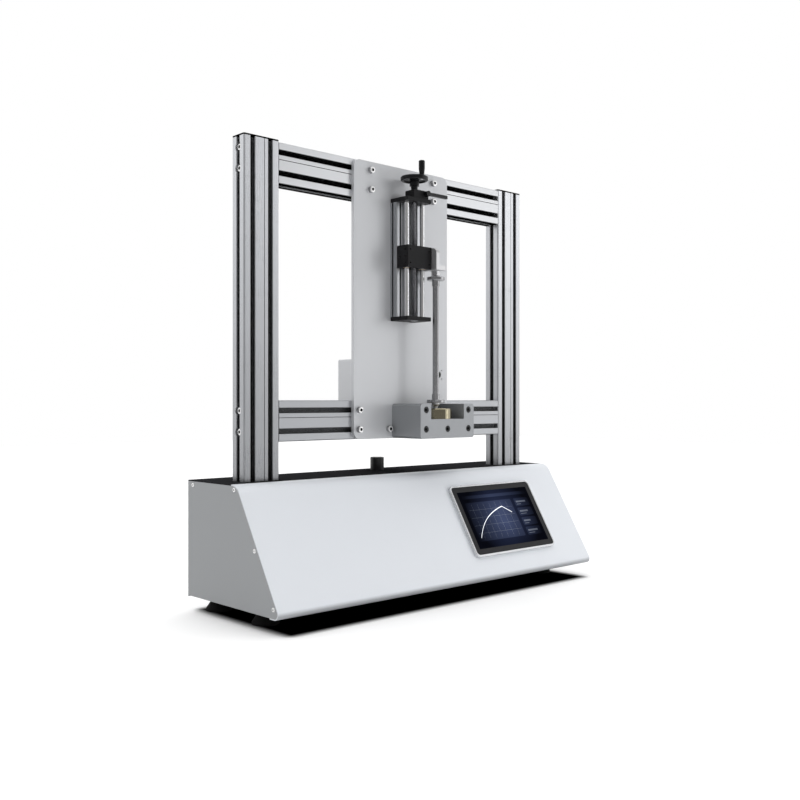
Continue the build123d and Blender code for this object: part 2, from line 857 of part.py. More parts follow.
# Ram drive: motor with the screw as its shaft, a housing round it, the guide and the hollow ram
guide_flange_bottom = deck_bottom - ram_guide_flange
with BuildPart() as drive_motor:
    with BuildSketch(facing_up(0, ram_y, floor_top)):
        RectangleRounded(motor_size, motor_size, motor_corner)
    extrude(amount=motor_length)
    journal_bottom = motor_top - drive_journal_depth
    extrude(
        discs(facing_up(0, ram_y, motor_top), [(0, 0)], drive_journal + 2 * journal_gap),
        amount=-drive_journal_depth,
        mode=Mode.SUBTRACT,
    )
drive_motor.part.label = "drive_motor"
export_step(drive_motor.part, "parts/drive_motor.step")

with BuildPart() as drive_housing:
    with BuildSketch(facing_up(0, ram_y, floor_top)):
        Rectangle(drive_width, drive_depth)
        Rectangle(drive_width - 2 * drive_wall, drive_depth - 2 * drive_wall, mode=Mode.SUBTRACT)
    extrude(amount=guide_flange_bottom - floor_top)
    with BuildSketch(facing_front(ram_y)):
        with Locations((0, floor_top + drive_window_sill)):
            Rectangle(drive_window, drive_window_height, align=(Align.CENTER, Align.MIN))
    extrude(amount=drive_depth, mode=Mode.SUBTRACT)
drive_housing.part.label = "drive_housing"
export_step(drive_housing.part, "parts/drive_housing.step")

with BuildPart() as ram_guide:
    with BuildSketch(facing_up(0, ram_y, guide_flange_bottom)):
        Rectangle(drive_width, drive_depth)
    extrude(amount=ram_guide_flange)
    extrude(discs(facing_up(0, ram_y, deck_bottom), [(0, 0)], ram_guide_diameter), amount=-ram_guide_length)
    with Locations((0, ram_y, deck_bottom)):
        Hole(ram_diameter / 2 + journal_gap)
ram_guide.part.label = "ram_guide"
export_step(ram_guide.part, "parts/ram_guide.step")

with BuildPart() as ram:
    extrude(discs(facing_up(0, ram_y, ram_bottom), [(0, 0)], ram_diameter), amount=ram_length)
    chamfer(ram.edges().group_by(Axis.Z)[-1], ram_edge)
    extrude(
        discs(facing_up(0, ram_y, ram_bottom), [(0, 0)], ram_bore),
        amount=ram_length - ram_crown,
        mode=Mode.SUBTRACT,
    )
    extrude(
        discs(facing_up(0, ram_y, ram_bottom), [(0, 0)], ram_nut_diameter + 2 * thread_gap),
        amount=ram_nut_length,
        mode=Mode.SUBTRACT,
    )
ram.part.label = "ram"
export_step(ram.part, "parts/ram.step")

with BuildPart() as ram_nut:
    extrude(discs(facing_up(0, ram_y, ram_bottom), [(0, 0)], ram_nut_diameter), amount=ram_nut_length)
    extrude(discs(facing_up(0, ram_y, ram_bottom), [(0, 0)], ram_diameter), amount=-ram_nut_flange)
    with Locations((0, ram_y, ram_bottom)):
        Hole(drive_screw_diameter / 2 + journal_gap)
ram_nut.part.label = "ram_nut"
export_step(ram_nut.part, "parts/ram_nut.step")

with BuildPart() as drive_screw:
    thread_bottom = motor_top + drive_screw_gap
    thread_top = ram_top - ram_crown - drive_screw_top
    extrude(
        discs(facing_up(0, ram_y, thread_bottom), [(0, 0)], drive_screw_diameter),
        amount=thread_top - thread_bottom,
    )
    extrude(
        discs(facing_up(0, ram_y, thread_bottom), [(0, 0)], drive_journal),
        amount=journal_bottom + drive_screw_gap - thread_bottom,
    )
drive_screw.part.label = "drive_screw"
export_step(drive_screw.part, "parts/drive_screw.step")

# One slot of the profile, open towards local +y
with BuildSketch() as slot_cut:
    with BuildLine():
        half_slot = Polyline(
            (0, 0),
            (slot_mouth / 2 + slot_edge, 0),
            (slot_mouth / 2, -slot_edge),
            (slot_mouth / 2, -slot_lip),
            (slot_cavity / 2, -slot_lip),
            (slot_cavity / 2, -slot_shoulder),
            (slot_floor / 2, -slot_depth),
            (0, -slot_depth),
        )
        mirror(half_slot, about=Plane.YZ)
    make_face()

# Section of the profile, its long side along local x
with BuildSketch() as profile_section:
    RectangleRounded(profile_width, module, profile_corner)
    slot_places = [Location((x * module / 2, module / 2, 0)) for x in (-1, 1)]
    slot_places += [Location((x * module / 2, -module / 2, 0), (0, 0, 180)) for x in (-1, 1)]
    slot_places += [Location((x * module, 0, 0), (0, 0, -90 * x)) for x in (-1, 1)]
    with Locations(*slot_places):
        add(slot_cut.sketch_local, mode=Mode.SUBTRACT)
    with GridLocations(module, 0, 2, 1):
        Circle(core_bore / 2, mode=Mode.SUBTRACT)
    RectangleRounded(hollow_width, hollow_height, hollow_round, mode=Mode.SUBTRACT)
    with Locations((groove_offset, module / 2), (groove_offset, -module / 2)):
        Rectangle(groove_width, 2 * groove_depth, mode=Mode.SUBTRACT)

# Columns, standing on the floor plate, bored across for the screws that hold the beams
for name, side in (("left_column", -1), ("right_column", 1)):
    with BuildPart() as column:
        with BuildSketch(facing_up(side * column_x, frame_y, floor_top)):
            add(profile_section.sketch_local)
        extrude(amount=column_top - floor_top)
        with Locations(
            *[
                Plane(origin=(side * column_outer, frame_y, z), z_dir=(side, 0, 0))
                for z in joint_heights
            ]
        ):
            CounterBoreHole(m8_hole / 2, m8_access / 2, slot_depth, profile_width)
    column.part.label = name
    export_step(column.part, f"parts/{name}.step")

# End caps of the columns
with BuildPart() as column_caps:
    for side in (-1, 1):
        with BuildSketch(facing_up(side * column_x, frame_y, column_top)):
            RectangleRounded(profile_width, module, profile_corner)
        extrude(amount=cap_thickness)
column_caps.part.label = "column_caps"
export_step(column_caps.part, "parts/column_caps.step")

# Beams between the columns, their long side upright
for name, beam_z in (("upper_beam", upper_beam_z), ("lower_beam", lower_beam_z)):
    with BuildPart() as beam:
        with BuildSketch(Plane(origin=(-beam_length / 2, frame_y, beam_z), x_dir=(0, 0, 1), z_dir=(1, 0, 0))):
            add(profile_section.sketch_local)
        extrude(amount=beam_length)
    beam.part.label = name
    export_step(beam.part, f"parts/{name}.step")

# Screws of the frame: through the columns into the beams, and up from the floor plate into the columns
with BuildPart() as frame_screws:
    for side in (-1, 1):
        cap_screws(
            facing_side(side * (column_outer - slot_depth + m8_washer_thickness), frame_y, side),
            [(0, z) for z in joint_heights],
            m8_sizes,
            profile_width - slot_depth + m8_washer_thickness + m8_core_reach,
        )
    cap_screws(
        Plane(origin=(0, 0, floor_bottom + m8_head_height + recess_gap), x_dir=(1, 0, 0), z_dir=(0, 0, -1)),
        [(x, -y) for x, y in anchors],
        m8_sizes,
        floor_thickness - m8_head_height - recess_gap + m8_core_reach,
    )
frame_screws.part.label = "frame_screws"
export_step(frame_screws.part, "parts/frame_screws.step")

with BuildPart() as frame_washers:
    for side in (-1, 1):
        with BuildSketch(facing_side(side * (column_outer - slot_depth), frame_y, side)):
            with Locations(*[(0, z) for z in joint_heights]):
                Circle(m8_washer / 2)
                Circle(m8_washer_hole / 2, mode=Mode.SUBTRACT)
        extrude(amount=m8_washer_thickness)
frame_washers.part.label = "frame_washers"
export_step(frame_washers.part, "parts/frame_washers.step")

# Mounting plate across the two beams
with BuildPart() as mounting_plate:
    with BuildSketch(facing_front(column_front)):
        with Locations((0, (plate_top + plate_bottom) / 2)):
            RectangleRounded(plate_width, plate_top - plate_bottom, plate_corner)
        with Locations(*plate_screws_at, *block_screws_at):
            Circle(m8_hole / 2, mode=Mode.SUBTRACT)
        with Locations(*stage_screws_at):
            Circle(m6 / 2 + recess_gap, mode=Mode.SUBTRACT)
        with Locations((socket_x, socket_z)):
            Circle(socket_diameter / 2 + thread_gap, mode=Mode.SUBTRACT)
        with Locations(*socket_screws_at):
            Circle(socket_screw_hole / 2, mode=Mode.SUBTRACT)
    extrude(amount=plate_thickness)
mounting_plate.part.label = "mounting_plate"
export_step(mounting_plate.part, "parts/mounting_plate.step")

# Screws of the plate and of the rear housing, all into the slots of the beams
with BuildPart() as plate_screws:
    cap_screws(facing_front(plate_front), plate_screws_at, m8_sizes, plate_thickness + m8_slot_reach)
    cap_screws(
        facing_rear(frame_back + rear_box_wall),
        [(-x, z) for x, z in rear_box_screws_at],
        m8_sizes,
        rear_box_wall + m8_slot_reach,
    )
plate_screws.part.label = "plate_screws"
export_step(plate_screws.part, "parts/plate_screws.step")

# Nuts in the slots of the beams
nut_width = slot_cavity - 2 * nut_gap
nut_thickness = slot_shoulder - slot_lip
with BuildPart() as slot_nuts:
    for plane, places in (
        (facing_front(column_front + slot_lip), plate_screws_at + block_screws_at),
        (facing_rear(frame_back - slot_lip), [(-x, z) for x, z in rear_box_screws_at]),
    ):
        with BuildSketch(plane):
            with Locations(*places):
                Rectangle(nut_length, nut_width)
                Circle(m8 / 2 + thread_gap, mode=Mode.SUBTRACT)
        extrude(amount=-nut_thickness)
slot_nuts.part.label = "slot_nuts"
export_step(slot_nuts.part, "parts/slot_nuts.step")

# Housing on the back of the lower beam, open at the rear, and its lid
with BuildPart() as rear_box:
    with BuildSketch(facing_rear(frame_back)):
        with Locations((0, rear_box_bottom)):
            Rectangle(rear_box_width, rear_box_height, align=(Align.CENTER, Align.MIN))
    extrude(amount=rear_box_depth - rear_box_lid)
    fillet(rear_box.edges().filter_by(Axis.Y), rear_box_corner)
    rear_opening = rear_box.faces().sort_by(Axis.Y)[-1]
    offset(amount=-rear_box_wall, openings=rear_opening)
    with BuildSketch(facing_rear(frame_back)):
        with Locations(*rear_box_screws_at):
            Circle(m8_hole / 2)
    extrude(amount=rear_box_wall, mode=Mode.SUBTRACT)
rear_box.part.label = "rear_box"
export_step(rear_box.part, "parts/rear_box.step")

with BuildPart() as rear_box_cover:
    with BuildSketch(facing_rear(frame_back + rear_box_depth - rear_box_lid)):
        with Locations((0, rear_box_bottom + rear_box_height / 2)):
            RectangleRounded(rear_box_width, rear_box_height, rear_box_corner)
    extrude(amount=rear_box_lid)
rear_box_cover.part.label = "rear_box_cover"
export_step(rear_box_cover.part, "parts/rear_box_cover.step")

# Sensor socket: a barrel through the plate on a square flange behind it
with BuildPart() as sensor_socket:
    with BuildSketch(facing_rear(column_front)):
        with Locations((-socket_x, socket_z)):
            Rectangle(socket_flange, socket_flange)
        with Locations(*[(-x, z) for x, z in socket_screws_at]):
            Circle(socket_screw_hole / 2, mode=Mode.SUBTRACT)
    extrude(amount=socket_flange_thickness)
    extrude(
        discs(facing_front(column_front), [(socket_x, socket_z)], socket_diameter),
        amount=plate_thickness - socket_recess,
    )
    extrude(
        discs(facing_rear(column_front), [(-socket_x, socket_z)], socket_diameter), amount=socket_rear_length
    )
sensor_socket.part.label = "sensor_socket"
export_step(sensor_socket.part, "parts/sensor_socket.step")

# Stage rail with grooved sides, end plates and guide rods
rail_front = plate_front - rail_depth
with BuildPart() as stage_rail:
    with BuildSketch(Plane.XY.offset(stage_low)):
        with Locations((0, plate_front)):
            Rectangle(stage_width, rail_depth, align=(Align.CENTER, Align.MAX))
        with Locations(*[(x * stage_width / 2, plate_front - rail_groove_inset) for x in (-1, 1)]):
            Rectangle(2 * rail_groove, rail_groove, mode=Mode.SUBTRACT)
        with Locations((-rail_slot_x, rail_front), (rail_slot_x, rail_front)):
            Rectangle(rail_groove, 2 * rail_groove, mode=Mode.SUBTRACT)
        with Locations((0, rail_front)):
            Rectangle(rail_channel, 2 * rail_channel_depth, mode=Mode.SUBTRACT)
        with Locations(*[(x * stage_width / 2, rail_front) for x in (-1, 1)]):
            Rectangle(rail_channel_depth, rail_channel_depth, rotation=45, mode=Mode.SUBTRACT)
    extrude(amount=stage_high - stage_low)
    screw_bores = discs(facing_front(plate_front), stage_screws_at, m6 + 2 * thread_gap)
    extrude(screw_bores, amount=m6_reach, mode=Mode.SUBTRACT)
stage_rail.part.label = "stage_rail"
export_step(stage_rail.part, "parts/stage_rail.step")

end_plates = (
    ("stage_bottom_plate", stage_bottom, stage_low - rod_seat, stage_bottom),
    ("stage_top_plate", stage_high, stage_high, stage_top - bearing_thickness),
)
for name, bottom, rod_seat_bottom, bearing_bottom in end_plates:
    with BuildPart() as end_plate:
        with BuildSketch(Plane.XY.offset(bottom)):
            with Locations((0, plate_front - stage_depth / 2)):
                RectangleRounded(stage_width, stage_depth, stage_corner)
        extrude(amount=stage_plate)
        extrude(
            discs(Plane.XY.offset(rod_seat_bottom), [(-rod_x, screw_y), (rod_x, screw_y)], rod_diameter),
            amount=rod_seat,
            mode=Mode.SUBTRACT,
        )
        extrude(
            discs(Plane.XY.offset(bearing_bottom), [(0, screw_y)], bearing_diameter),
            amount=bearing_thickness,
            mode=Mode.SUBTRACT,
        )
        with Locations((0, screw_y, bottom)):
            Hole(screw_journal / 2 + journal_hole_gap)
    end_plate.part.label = name
    export_step(end_plate.part, f"parts/{name}.step")

with BuildPart() as guide_rods:
    extrude(
        discs(Plane.XY.offset(stage_low - rod_seat), [(-rod_x, screw_y), (rod_x, screw_y)], rod_diameter),
        amount=stage_high - stage_low + 2 * rod_seat,
    )
guide_rods.part.label = "guide_rods"
export_step(guide_rods.part, "parts/guide_rods.step")

with BuildPart() as screw_bearings:
    for bottom in (stage_bottom, stage_top - bearing_thickness):
        with BuildSketch(facing_up(0, screw_y, bottom)):
            Circle(bearing_diameter / 2)
            Circle(screw_journal / 2 + journal_gap, mode=Mode.SUBTRACT)
        extrude(amount=bearing_thickness)
screw_bearings.part.label = "screw_bearings"
export_step(screw_bearings.part, "parts/screw_bearings.step")

with BuildPart() as stage_screws:
    cap_screws(
        facing_rear(column_front),
        [(-x, z) for x, z in stage_screws_at],
        m6_sizes,
        plate_thickness + m6_reach,
    )
stage_screws.part.label = "stage_screws"
export_step(stage_screws.part, "parts/stage_screws.step")

# Lead screw, from the lower bearing up into the handwheel
with BuildPart() as lead_screw:
    extrude(
        discs(facing_up(0, screw_y, stage_bottom), [(0, 0)], screw_journal),
        amount=wheel_web_top - stage_bottom,
    )
    extrude(
        discs(facing_up(0, screw_y, stage_low + screw_end_gap), [(0, 0)], screw_diameter),
        amount=stage_high - stage_low - 2 * screw_end_gap,
    )
lead_screw.part.label = "lead_screw"
export_step(lead_screw.part, "parts/lead_screw.step")

# Clamp block: split collar round the screw, with an ear for the lever's stud
clamp_right = clamp_size / 2 + clamp_ear
with BuildPart() as clamp_block:
    with BuildSketch(facing_up(0, screw_y, stage_top)):
        with Locations((-clamp_size / 2, 0)):
            Rectangle(clamp_size + clamp_ear, clamp_size, align=(Align.MIN, Align.CENTER))
        Circle(screw_journal / 2 + 2 * journal_gap, mode=Mode.SUBTRACT)
        Rectangle(clamp_right, clamp_slit, align=(Align.MIN, Align.CENTER), mode=Mode.SUBTRACT)
    extrude(amount=clamp_height)
    chamfer(clamp_block.faces().sort_by(Axis.Z)[-1].outer_wire().edges().filter_by(Axis.Y), clamp_edge)
    extrude(
        discs(facing_front(clamp_front), [(lever_x, lever_z)], lever_stud + 2 * journal_gap),
        amount=-clamp_size,
        mode=Mode.SUBTRACT,
    )
clamp_block.part.label = "clamp_block"
export_step(clamp_block.part, "parts/clamp_block.step")

# Lock lever: hub, tapered arm and the stud that draws the clamp together
with BuildPart() as lock_lever:
    hub_back = facing_front(clamp_front - running_gap)
    extrude(discs(hub_back, [(lever_x, lever_z)], lever_hub), amount=lever_hub_length)
    extrude(
        discs(hub_back, [(lever_x, lever_z)], lever_stud), amount=-(clamp_size + running_gap)
    )
    with BuildSketch(facing_front(clamp_front - running_gap - lever_setback)):
        with BuildLine():
            Polyline(
                (lever_x, lever_z - lever_root / 2),
                (lever_x + lever_length, lever_z - lever_tip / 2),
                (lever_x + lever_length, lever_z + lever_tip / 2),
                (lever_x, lever_z + lever_root / 2),
                close=True,
            )
        make_face()
    extrude(amount=lever_thickness)
    fillet(lock_lever.faces().sort_by(Axis.X)[-1].edges(), lever_round)
lock_lever.part.label = "lock_lever"
export_step(lock_lever.part, "parts/lock_lever.step")

# Section of the handwheel's rim
with BuildSketch() as rim_section:
    Rectangle(wheel_rim_width, wheel_rim_height)
    chamfer(rim_section.vertices(), wheel_rim_edge)

# Handwheel: neck, hub, web and rim turned in one, with a boss for the crank's stud
wheel_axis = Axis((0, screw_y, 0), (0, 0, 1))
wheel_bottom = clamp_top + wheel_gap
wheel_web_bottom = wheel_web_top - wheel_web
with BuildPart() as handwheel:
    with BuildSketch(turning_plane(0, screw_y)):
        with BuildLine():
            Polyline(
                (screw_journal / 2, wheel_bottom),
                (wheel_neck / 2, wheel_bottom),
                (wheel_neck / 2, wheel_bottom + wheel_neck_length),
                (wheel_hub / 2, wheel_bottom + wheel_neck_length),
                (wheel_hub / 2, wheel_web_bottom),
                ((wheel_diameter - wheel_rim_width) / 2, wheel_web_bottom),
                ((wheel_diameter - wheel_rim_width) / 2, wheel_web_top),
                (screw_journal / 2, wheel_web_top),
                close=True,
            )
        make_face()
        with Locations(((wheel_diameter - wheel_rim_width) / 2, wheel_rim_bottom + wheel_rim_height / 2)):
            add(rim_section.sketch_local)
    revolve(axis=wheel_axis)
    extrude(discs(facing_up(0, crank_y, wheel_rim_bottom), [(0, 0)], crank_boss), amount=wheel_rim_height)
    extrude(
        discs(facing_up(0, crank_y, wheel_rim_bottom), [(0, 0)], crank_stud_diameter),
        amount=wheel_rim_height,
        mode=Mode.SUBTRACT,
    )
handwheel.part.label = "handwheel"
export_step(handwheel.part, "parts/handwheel.step")

# Crank: a stud in the wheel's boss and a grip that turns on it
crank_top = crank_bottom + crank_length
crank_recess = crank_top - 2 * crank_stud_head_height
with BuildPart() as crank_stud:
    extrude(
        discs(facing_up(0, crank_y, wheel_rim_bottom), [(0, 0)], crank_stud_diameter),
        amount=crank_recess + crank_gap - wheel_rim_bottom,
    )
    extrude(
        discs(facing_up(0, crank_y, crank_recess + crank_gap), [(0, 0)], crank_stud_head),
        amount=crank_stud_head_height - crank_gap,
    )
crank_stud.part.label = "crank_stud"
export_step(crank_stud.part, "parts/crank_stud.step")

with BuildPart() as crank_handle:
    with BuildSketch(turning_plane(0, crank_y)):
        with BuildLine():
            bore = crank_stud_diameter / 2 + journal_gap
            recess = crank_stud_head / 2 + running_gap
            Polyline(
                (crank_neck / 2, crank_bottom),
                (crank_grip / 2, crank_top - crank_grip_length),
                (crank_grip / 2, crank_top - crank_edge),
                (crank_grip / 2 - crank_edge, crank_top),
                (recess, crank_top),
                (recess, crank_recess),
                (bore, crank_recess),
                (bore, crank_bottom),
                close=True,
            )
        make_face()
    revolve(axis=Axis((0, crank_y, 0), (0, 0, 1)))
crank_handle.part.label = "crank_handle"
export_step(crank_handle.part, "parts/crank_handle.step")

# Carriage: a block on two rods, with tapped holes in its front and sides
face_holes = [
    (x * face_hole_pitch_x / 2, carriage_middle + z * face_hole_pitch_z / 2) for x in (-1, 1) for z in (-1, 1)
]
left_holes = [(-y, z) for y, z in bracket_screws_at]
left_holes += [(-carriage_front - side_hole_front, carriage_middle - face_hole_pitch_z / 2)]
with BuildPart() as carriage:
    with BuildSketch(facing_up(0, screw_y, carriage_bottom)):
        RectangleRounded(stage_width, carriage_depth, carriage_corner)
        with Locations((-rod_x, 0), (rod_x, 0)):
            Circle(bush_diameter / 2, mode=Mode.SUBTRACT)
        Circle(nut_diameter / 2, mode=Mode.SUBTRACT)
    extrude(amount=carriage_height)
    extrude(
        discs(facing_front(carriage_front), face_holes, face_hole),
        amount=-face_hole_depth,
        mode=Mode.SUBTRACT,
    )
    extrude(
        discs(facing_side(-stage_width / 2, 0, -1), left_holes, face_hole),
        amount=-m5_reach,
        mode=Mode.SUBTRACT,
    )
    extrude(
        discs(facing_side(stage_width / 2, 0, 1), bracket_screws_at, m5 + 2 * thread_gap),
        amount=-m5_reach,
        mode=Mode.SUBTRACT,
    )
carriage.part.label = "carriage"
export_step(carriage.part, "parts/carriage.step")

with BuildPart() as carriage_bushes:
    for bottom in (carriage_bottom, carriage_top - bush_length):
        with BuildSketch(Plane.XY.offset(bottom)):
            with Locations((-rod_x, screw_y), (rod_x, screw_y)):
                Circle(bush_diameter / 2)
                Circle(rod_diameter / 2 + journal_gap, mode=Mode.SUBTRACT)
        extrude(amount=bush_length)
carriage_bushes.part.label = "carriage_bushes"
export_step(carriage_bushes.part, "parts/carriage_bushes.step")

with BuildPart() as lead_nut:
    with BuildSketch(facing_up(0, screw_y, carriage_middle - lead_nut_length / 2)):
        Circle(nut_diameter / 2)
        Circle(screw_diameter / 2 + journal_gap, mode=Mode.SUBTRACT)
    extrude(amount=lead_nut_length)
lead_nut.part.label = "lead_nut"
export_step(lead_nut.part, "parts/lead_nut.step")

# Steel bracket on the carriage's right side, its foot holding the push rod
bracket_x = stage_width / 2
with BuildPart() as bracket:
    with BuildSketch(Plane.YZ.offset(bracket_x)):
        with Locations((bracket_front, foot_bottom)):
            Rectangle(bracket_rear - bracket_front, carriage_height, align=(Align.MIN, Align.MIN))
        with Locations(*bracket_screws_at):
            Circle(m5 / 2 + thread_gap, mode=Mode.SUBTRACT)
    extrude(amount=bracket_web)
    fillet(bracket.edges().filter_by(Axis.X).group_by(Axis.Z)[-1].sort_by(Axis.Y)[0], bracket_round)
    with BuildSketch(Plane.XY.offset(foot_bottom)):
        with Locations((bracket_x, bracket_front)):
            Rectangle(bracket_foot_width, bracket_foot_depth, align=(Align.MIN, Align.MIN))
    extrude(amount=bracket_foot)
    fillet(bracket.edges().filter_by(Axis.Z).group_by(Axis.X)[-1], bracket_foot_round)
    extrude(
        discs(facing_up(train_x, train_y, foot_bottom), [(0, 0)], stud_diameter + 2 * thread_gap),
        amount=bracket_foot,
        mode=Mode.SUBTRACT,
    )
bracket.part.label = "bracket"
export_step(bracket.part, "parts/bracket.step")

with BuildPart() as bracket_screws:
    cap_screws(facing_side(bracket_x + bracket_web, 0, 1), bracket_screws_at, m5_sizes, bracket_web + m5_reach)
bracket_screws.part.label = "bracket_screws"
export_step(bracket_screws.part, "parts/bracket_screws.step")

# Load train: hexagonal stud, two flanged collars, the rod between them and the tapered nose
with BuildPart() as rod_stud:
    extrude(
        discs(facing_up(train_x, train_y, upper_collar_bottom + rod_end_wall), [(0, 0)], stud_diameter),
        amount=foot_bottom + bracket_foot - upper_collar_bottom - rod_end_wall,
    )
    extrude(hexagons(facing_up(train_x, train_y, hex_bottom), [(0, 0)], stud_hex), amount=stud_hex_length)
rod_stud.part.label = "rod_stud"
export_step(rod_stud.part, "parts/rod_stud.step")

rod_top = upper_collar_bottom
rod_bottom = lower_collar_top
collars = ((upper_collar_bottom, -1), (lower_collar_top, 1))
with BuildPart() as rod_collars:
    for face, way in collars:
        plane = facing_up(train_x, train_y, face)
        extrude(discs(plane, [(0, 0)], rod_collar), amount=-way * rod_collar_thickness)
        extrude(discs(plane, [(0, 0)], rod_hub), amount=way * rod_hub_length)
        extrude(
            discs(plane, [(0, 0)], push_rod_diameter + 2 * thread_gap),
            amount=way * rod_hub_length,
            mode=Mode.SUBTRACT,
        )
        extrude(
            discs(plane.offset(-way * rod_end_wall), [(0, 0)], stud_diameter + 2 * thread_gap),
            amount=-way * rod_collar_thickness,
            mode=Mode.SUBTRACT,
        )
    chamfer(rod_collars.edges().filter_by(GeomType.CIRCLE).filter_by(
        lambda edge: abs(edge.radius - rod_collar / 2) < thread_gap), rod_collar_edge)
rod_collars.part.label = "rod_collars"
export_step(rod_collars.part, "parts/rod_collars.step")

with BuildPart() as push_rod:
    extrude(
        discs(facing_up(train_x, train_y, rod_bottom), [(0, 0)], push_rod_diameter),
        amount=rod_top - rod_bottom,
    )
push_rod.part.label = "push_rod"
export_step(push_rod.part, "parts/push_rod.step")

with BuildPart() as rod_nose:
    with BuildSketch(turning_plane(train_x, train_y)):
        with BuildLine():
            Polyline(
                (0, nose_bottom),
                (nose_tip / 2, nose_bottom),
                (nose_tip / 2, nose_bottom + nose_tip_length),
                (nose_diameter / 2, lower_collar_bottom - nose_band),
                (nose_diameter / 2, lower_collar_bottom),
                (stud_diameter / 2, lower_collar_bottom),
                (stud_diameter / 2, lower_collar_top - rod_end_wall),
                (0, lower_collar_top - rod_end_wall),
                close=True,
            )
        make_face()
    revolve(axis=Axis((train_x, train_y, 0), (0, 0, 1)))
rod_nose.part.label = "rod_nose"
export_step(rod_nose.part, "parts/rod_nose.step")

# Block with a pocket for the load cell, screwed through the plate into the lower beam
with BuildPart() as load_cell_block:
    with BuildSketch(facing_front(plate_front)):
        with Locations((train_x, block_bottom)):
            Rectangle(block_width, block_height, align=(Align.CENTER, Align.MIN))
        with Locations(*block_screws_at):
            Circle(m8_hole / 2, mode=Mode.SUBTRACT)
    extrude(amount=block_depth)
    outer_edges = load_cell_block.edges().filter_by(Axis.Y).filter_by(GeomType.LINE)
    chamfer(outer_edges, block_edge)
    with BuildSketch(Plane.XY.offset(pocket_floor)):
        with Locations((train_x, pocket_rear)):
            Rectangle(pocket_width, block_depth, align=(Align.CENTER, Align.MAX))
    extrude(amount=block_height, mode=Mode.SUBTRACT)
    extrude(
        discs(facing_front(block_front), block_screws_at, m8_head + 2 * recess_gap),
        amount=-block_recess,
        mode=Mode.SUBTRACT,
    )
load_cell_block.part.label = "load_cell_block"
export_step(load_cell_block.part, "parts/load_cell_block.step")

with BuildPart() as block_screws:
    cap_screws(
        facing_front(block_front + block_recess),
        block_screws_at,
        m8_sizes,
        block_depth - block_recess + plate_thickness + m8_slot_reach,
    )
block_screws.part.label = "block_screws"
export_step(block_screws.part, "parts/block_screws.step")

# Load cell: a drum with a dished top and a loading button in its middle
with BuildPart() as load_cell:
    with BuildSketch(turning_plane(train_x, train_y)):
        with BuildLine():
            Polyline(
                (0, pocket_floor),
                (cell_diameter / 2, pocket_floor),
                (cell_diameter / 2, cell_top - cell_edge),
                (cell_diameter / 2 - cell_edge, cell_top),
                (cell_diameter / 2 - cell_rim, cell_top),
                (cell_diameter / 2 - cell_rim, cell_top - cell_dish),
                (cell_button / 2, cell_top - cell_dish),
                (cell_button / 2, cell_top),
                (0, cell_top),
                close=True,
            )
        make_face()
    revolve(axis=Axis((train_x, train_y, 0), (0, 0, 1)))
load_cell.part.label = "load_cell"
export_step(load_cell.part, "parts/load_cell.step")
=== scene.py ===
import math

import bpy
from mathutils import Matrix, Vector


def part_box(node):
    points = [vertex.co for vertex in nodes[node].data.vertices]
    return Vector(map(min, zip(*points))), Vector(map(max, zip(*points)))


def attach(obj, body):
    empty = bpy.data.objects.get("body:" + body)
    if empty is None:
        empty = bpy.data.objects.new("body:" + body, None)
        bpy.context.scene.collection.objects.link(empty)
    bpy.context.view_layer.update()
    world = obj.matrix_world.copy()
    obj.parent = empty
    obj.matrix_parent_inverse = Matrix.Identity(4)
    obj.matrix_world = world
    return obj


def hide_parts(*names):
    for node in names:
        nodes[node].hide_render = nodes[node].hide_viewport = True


# Looks of a bench-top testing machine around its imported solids. Metres, +Z up, front towards -Y.

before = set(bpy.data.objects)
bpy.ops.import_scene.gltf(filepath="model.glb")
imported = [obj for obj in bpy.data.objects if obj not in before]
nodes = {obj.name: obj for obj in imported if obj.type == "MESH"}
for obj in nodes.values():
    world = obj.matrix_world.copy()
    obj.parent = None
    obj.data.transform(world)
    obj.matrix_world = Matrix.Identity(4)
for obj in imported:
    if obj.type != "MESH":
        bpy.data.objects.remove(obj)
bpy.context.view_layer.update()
scene = bpy.context.scene

MM = 0.001
FRAME_BODY = "machine_frame"
CARRIAGE_BODY = "carriage"
WHEEL_BODY = "handwheel"
ROCKER_BODY = "switch_rocker"

# Camera of the photograph
CAMERA_PLACE = (-1.3948, -1.4878, 0.4038)
CAMERA_VIEW = (0.6785, 0.7346, 0.0)
CAMERA_LENS = 43.26
CAMERA_SENSOR = 36.0
CAMERA_SHIFT = 0.00126


def add_node(tree, kind, inputs=None, **attributes):
    """A shader node with some of its settings and inputs."""
    made = tree.nodes.new(kind)
    for name, value in attributes.items():
        setattr(made, name, value)
    for name, value in (inputs or {}).items():
        made.inputs[name].default_value = value
    return made


def shade(color, factor):
    """A colour made darker or lighter, with alpha."""
    return tuple(min(1.0, channel * factor) for channel in color) + (1.0,)


def scaled(tree, color, factor):
    """A colour output times a value output."""
    made = add_node(tree, "ShaderNodeVectorMath", operation="SCALE")
    tree.links.new(color, made.inputs[0])
    tree.links.new(factor, made.inputs["Scale"])
    return made.outputs["Vector"]


def product(tree, first, second):
    """A value output times a number or another value output."""
    made = add_node(tree, "ShaderNodeMath", operation="MULTIPLY")
    tree.links.new(first, made.inputs[0])
    if isinstance(second, float):
        made.inputs[1].default_value = second
    else:
        tree.links.new(second, made.inputs[1])
    return made.outputs[0]


# Painted shade in grooves: how far and with how many rays the open view round a point is measured
GROOVE_SHADE_REACH = 14 * MM
GROOVE_SHADE_SAMPLES = 12
EDGE_RADIUS = 0.5 * MM
EDGE_SAMPLES = 4
GRAIN_DEPTH = 0.2 * MM
GRAIN_DETAIL = 4.0
DRIFT_SCALE = 7.0
LOW_NOISE = 0.3
HIGH_NOISE = 0.7
COAT_ROUGHNESS = 0.15
column_low, column_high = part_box("left_column")


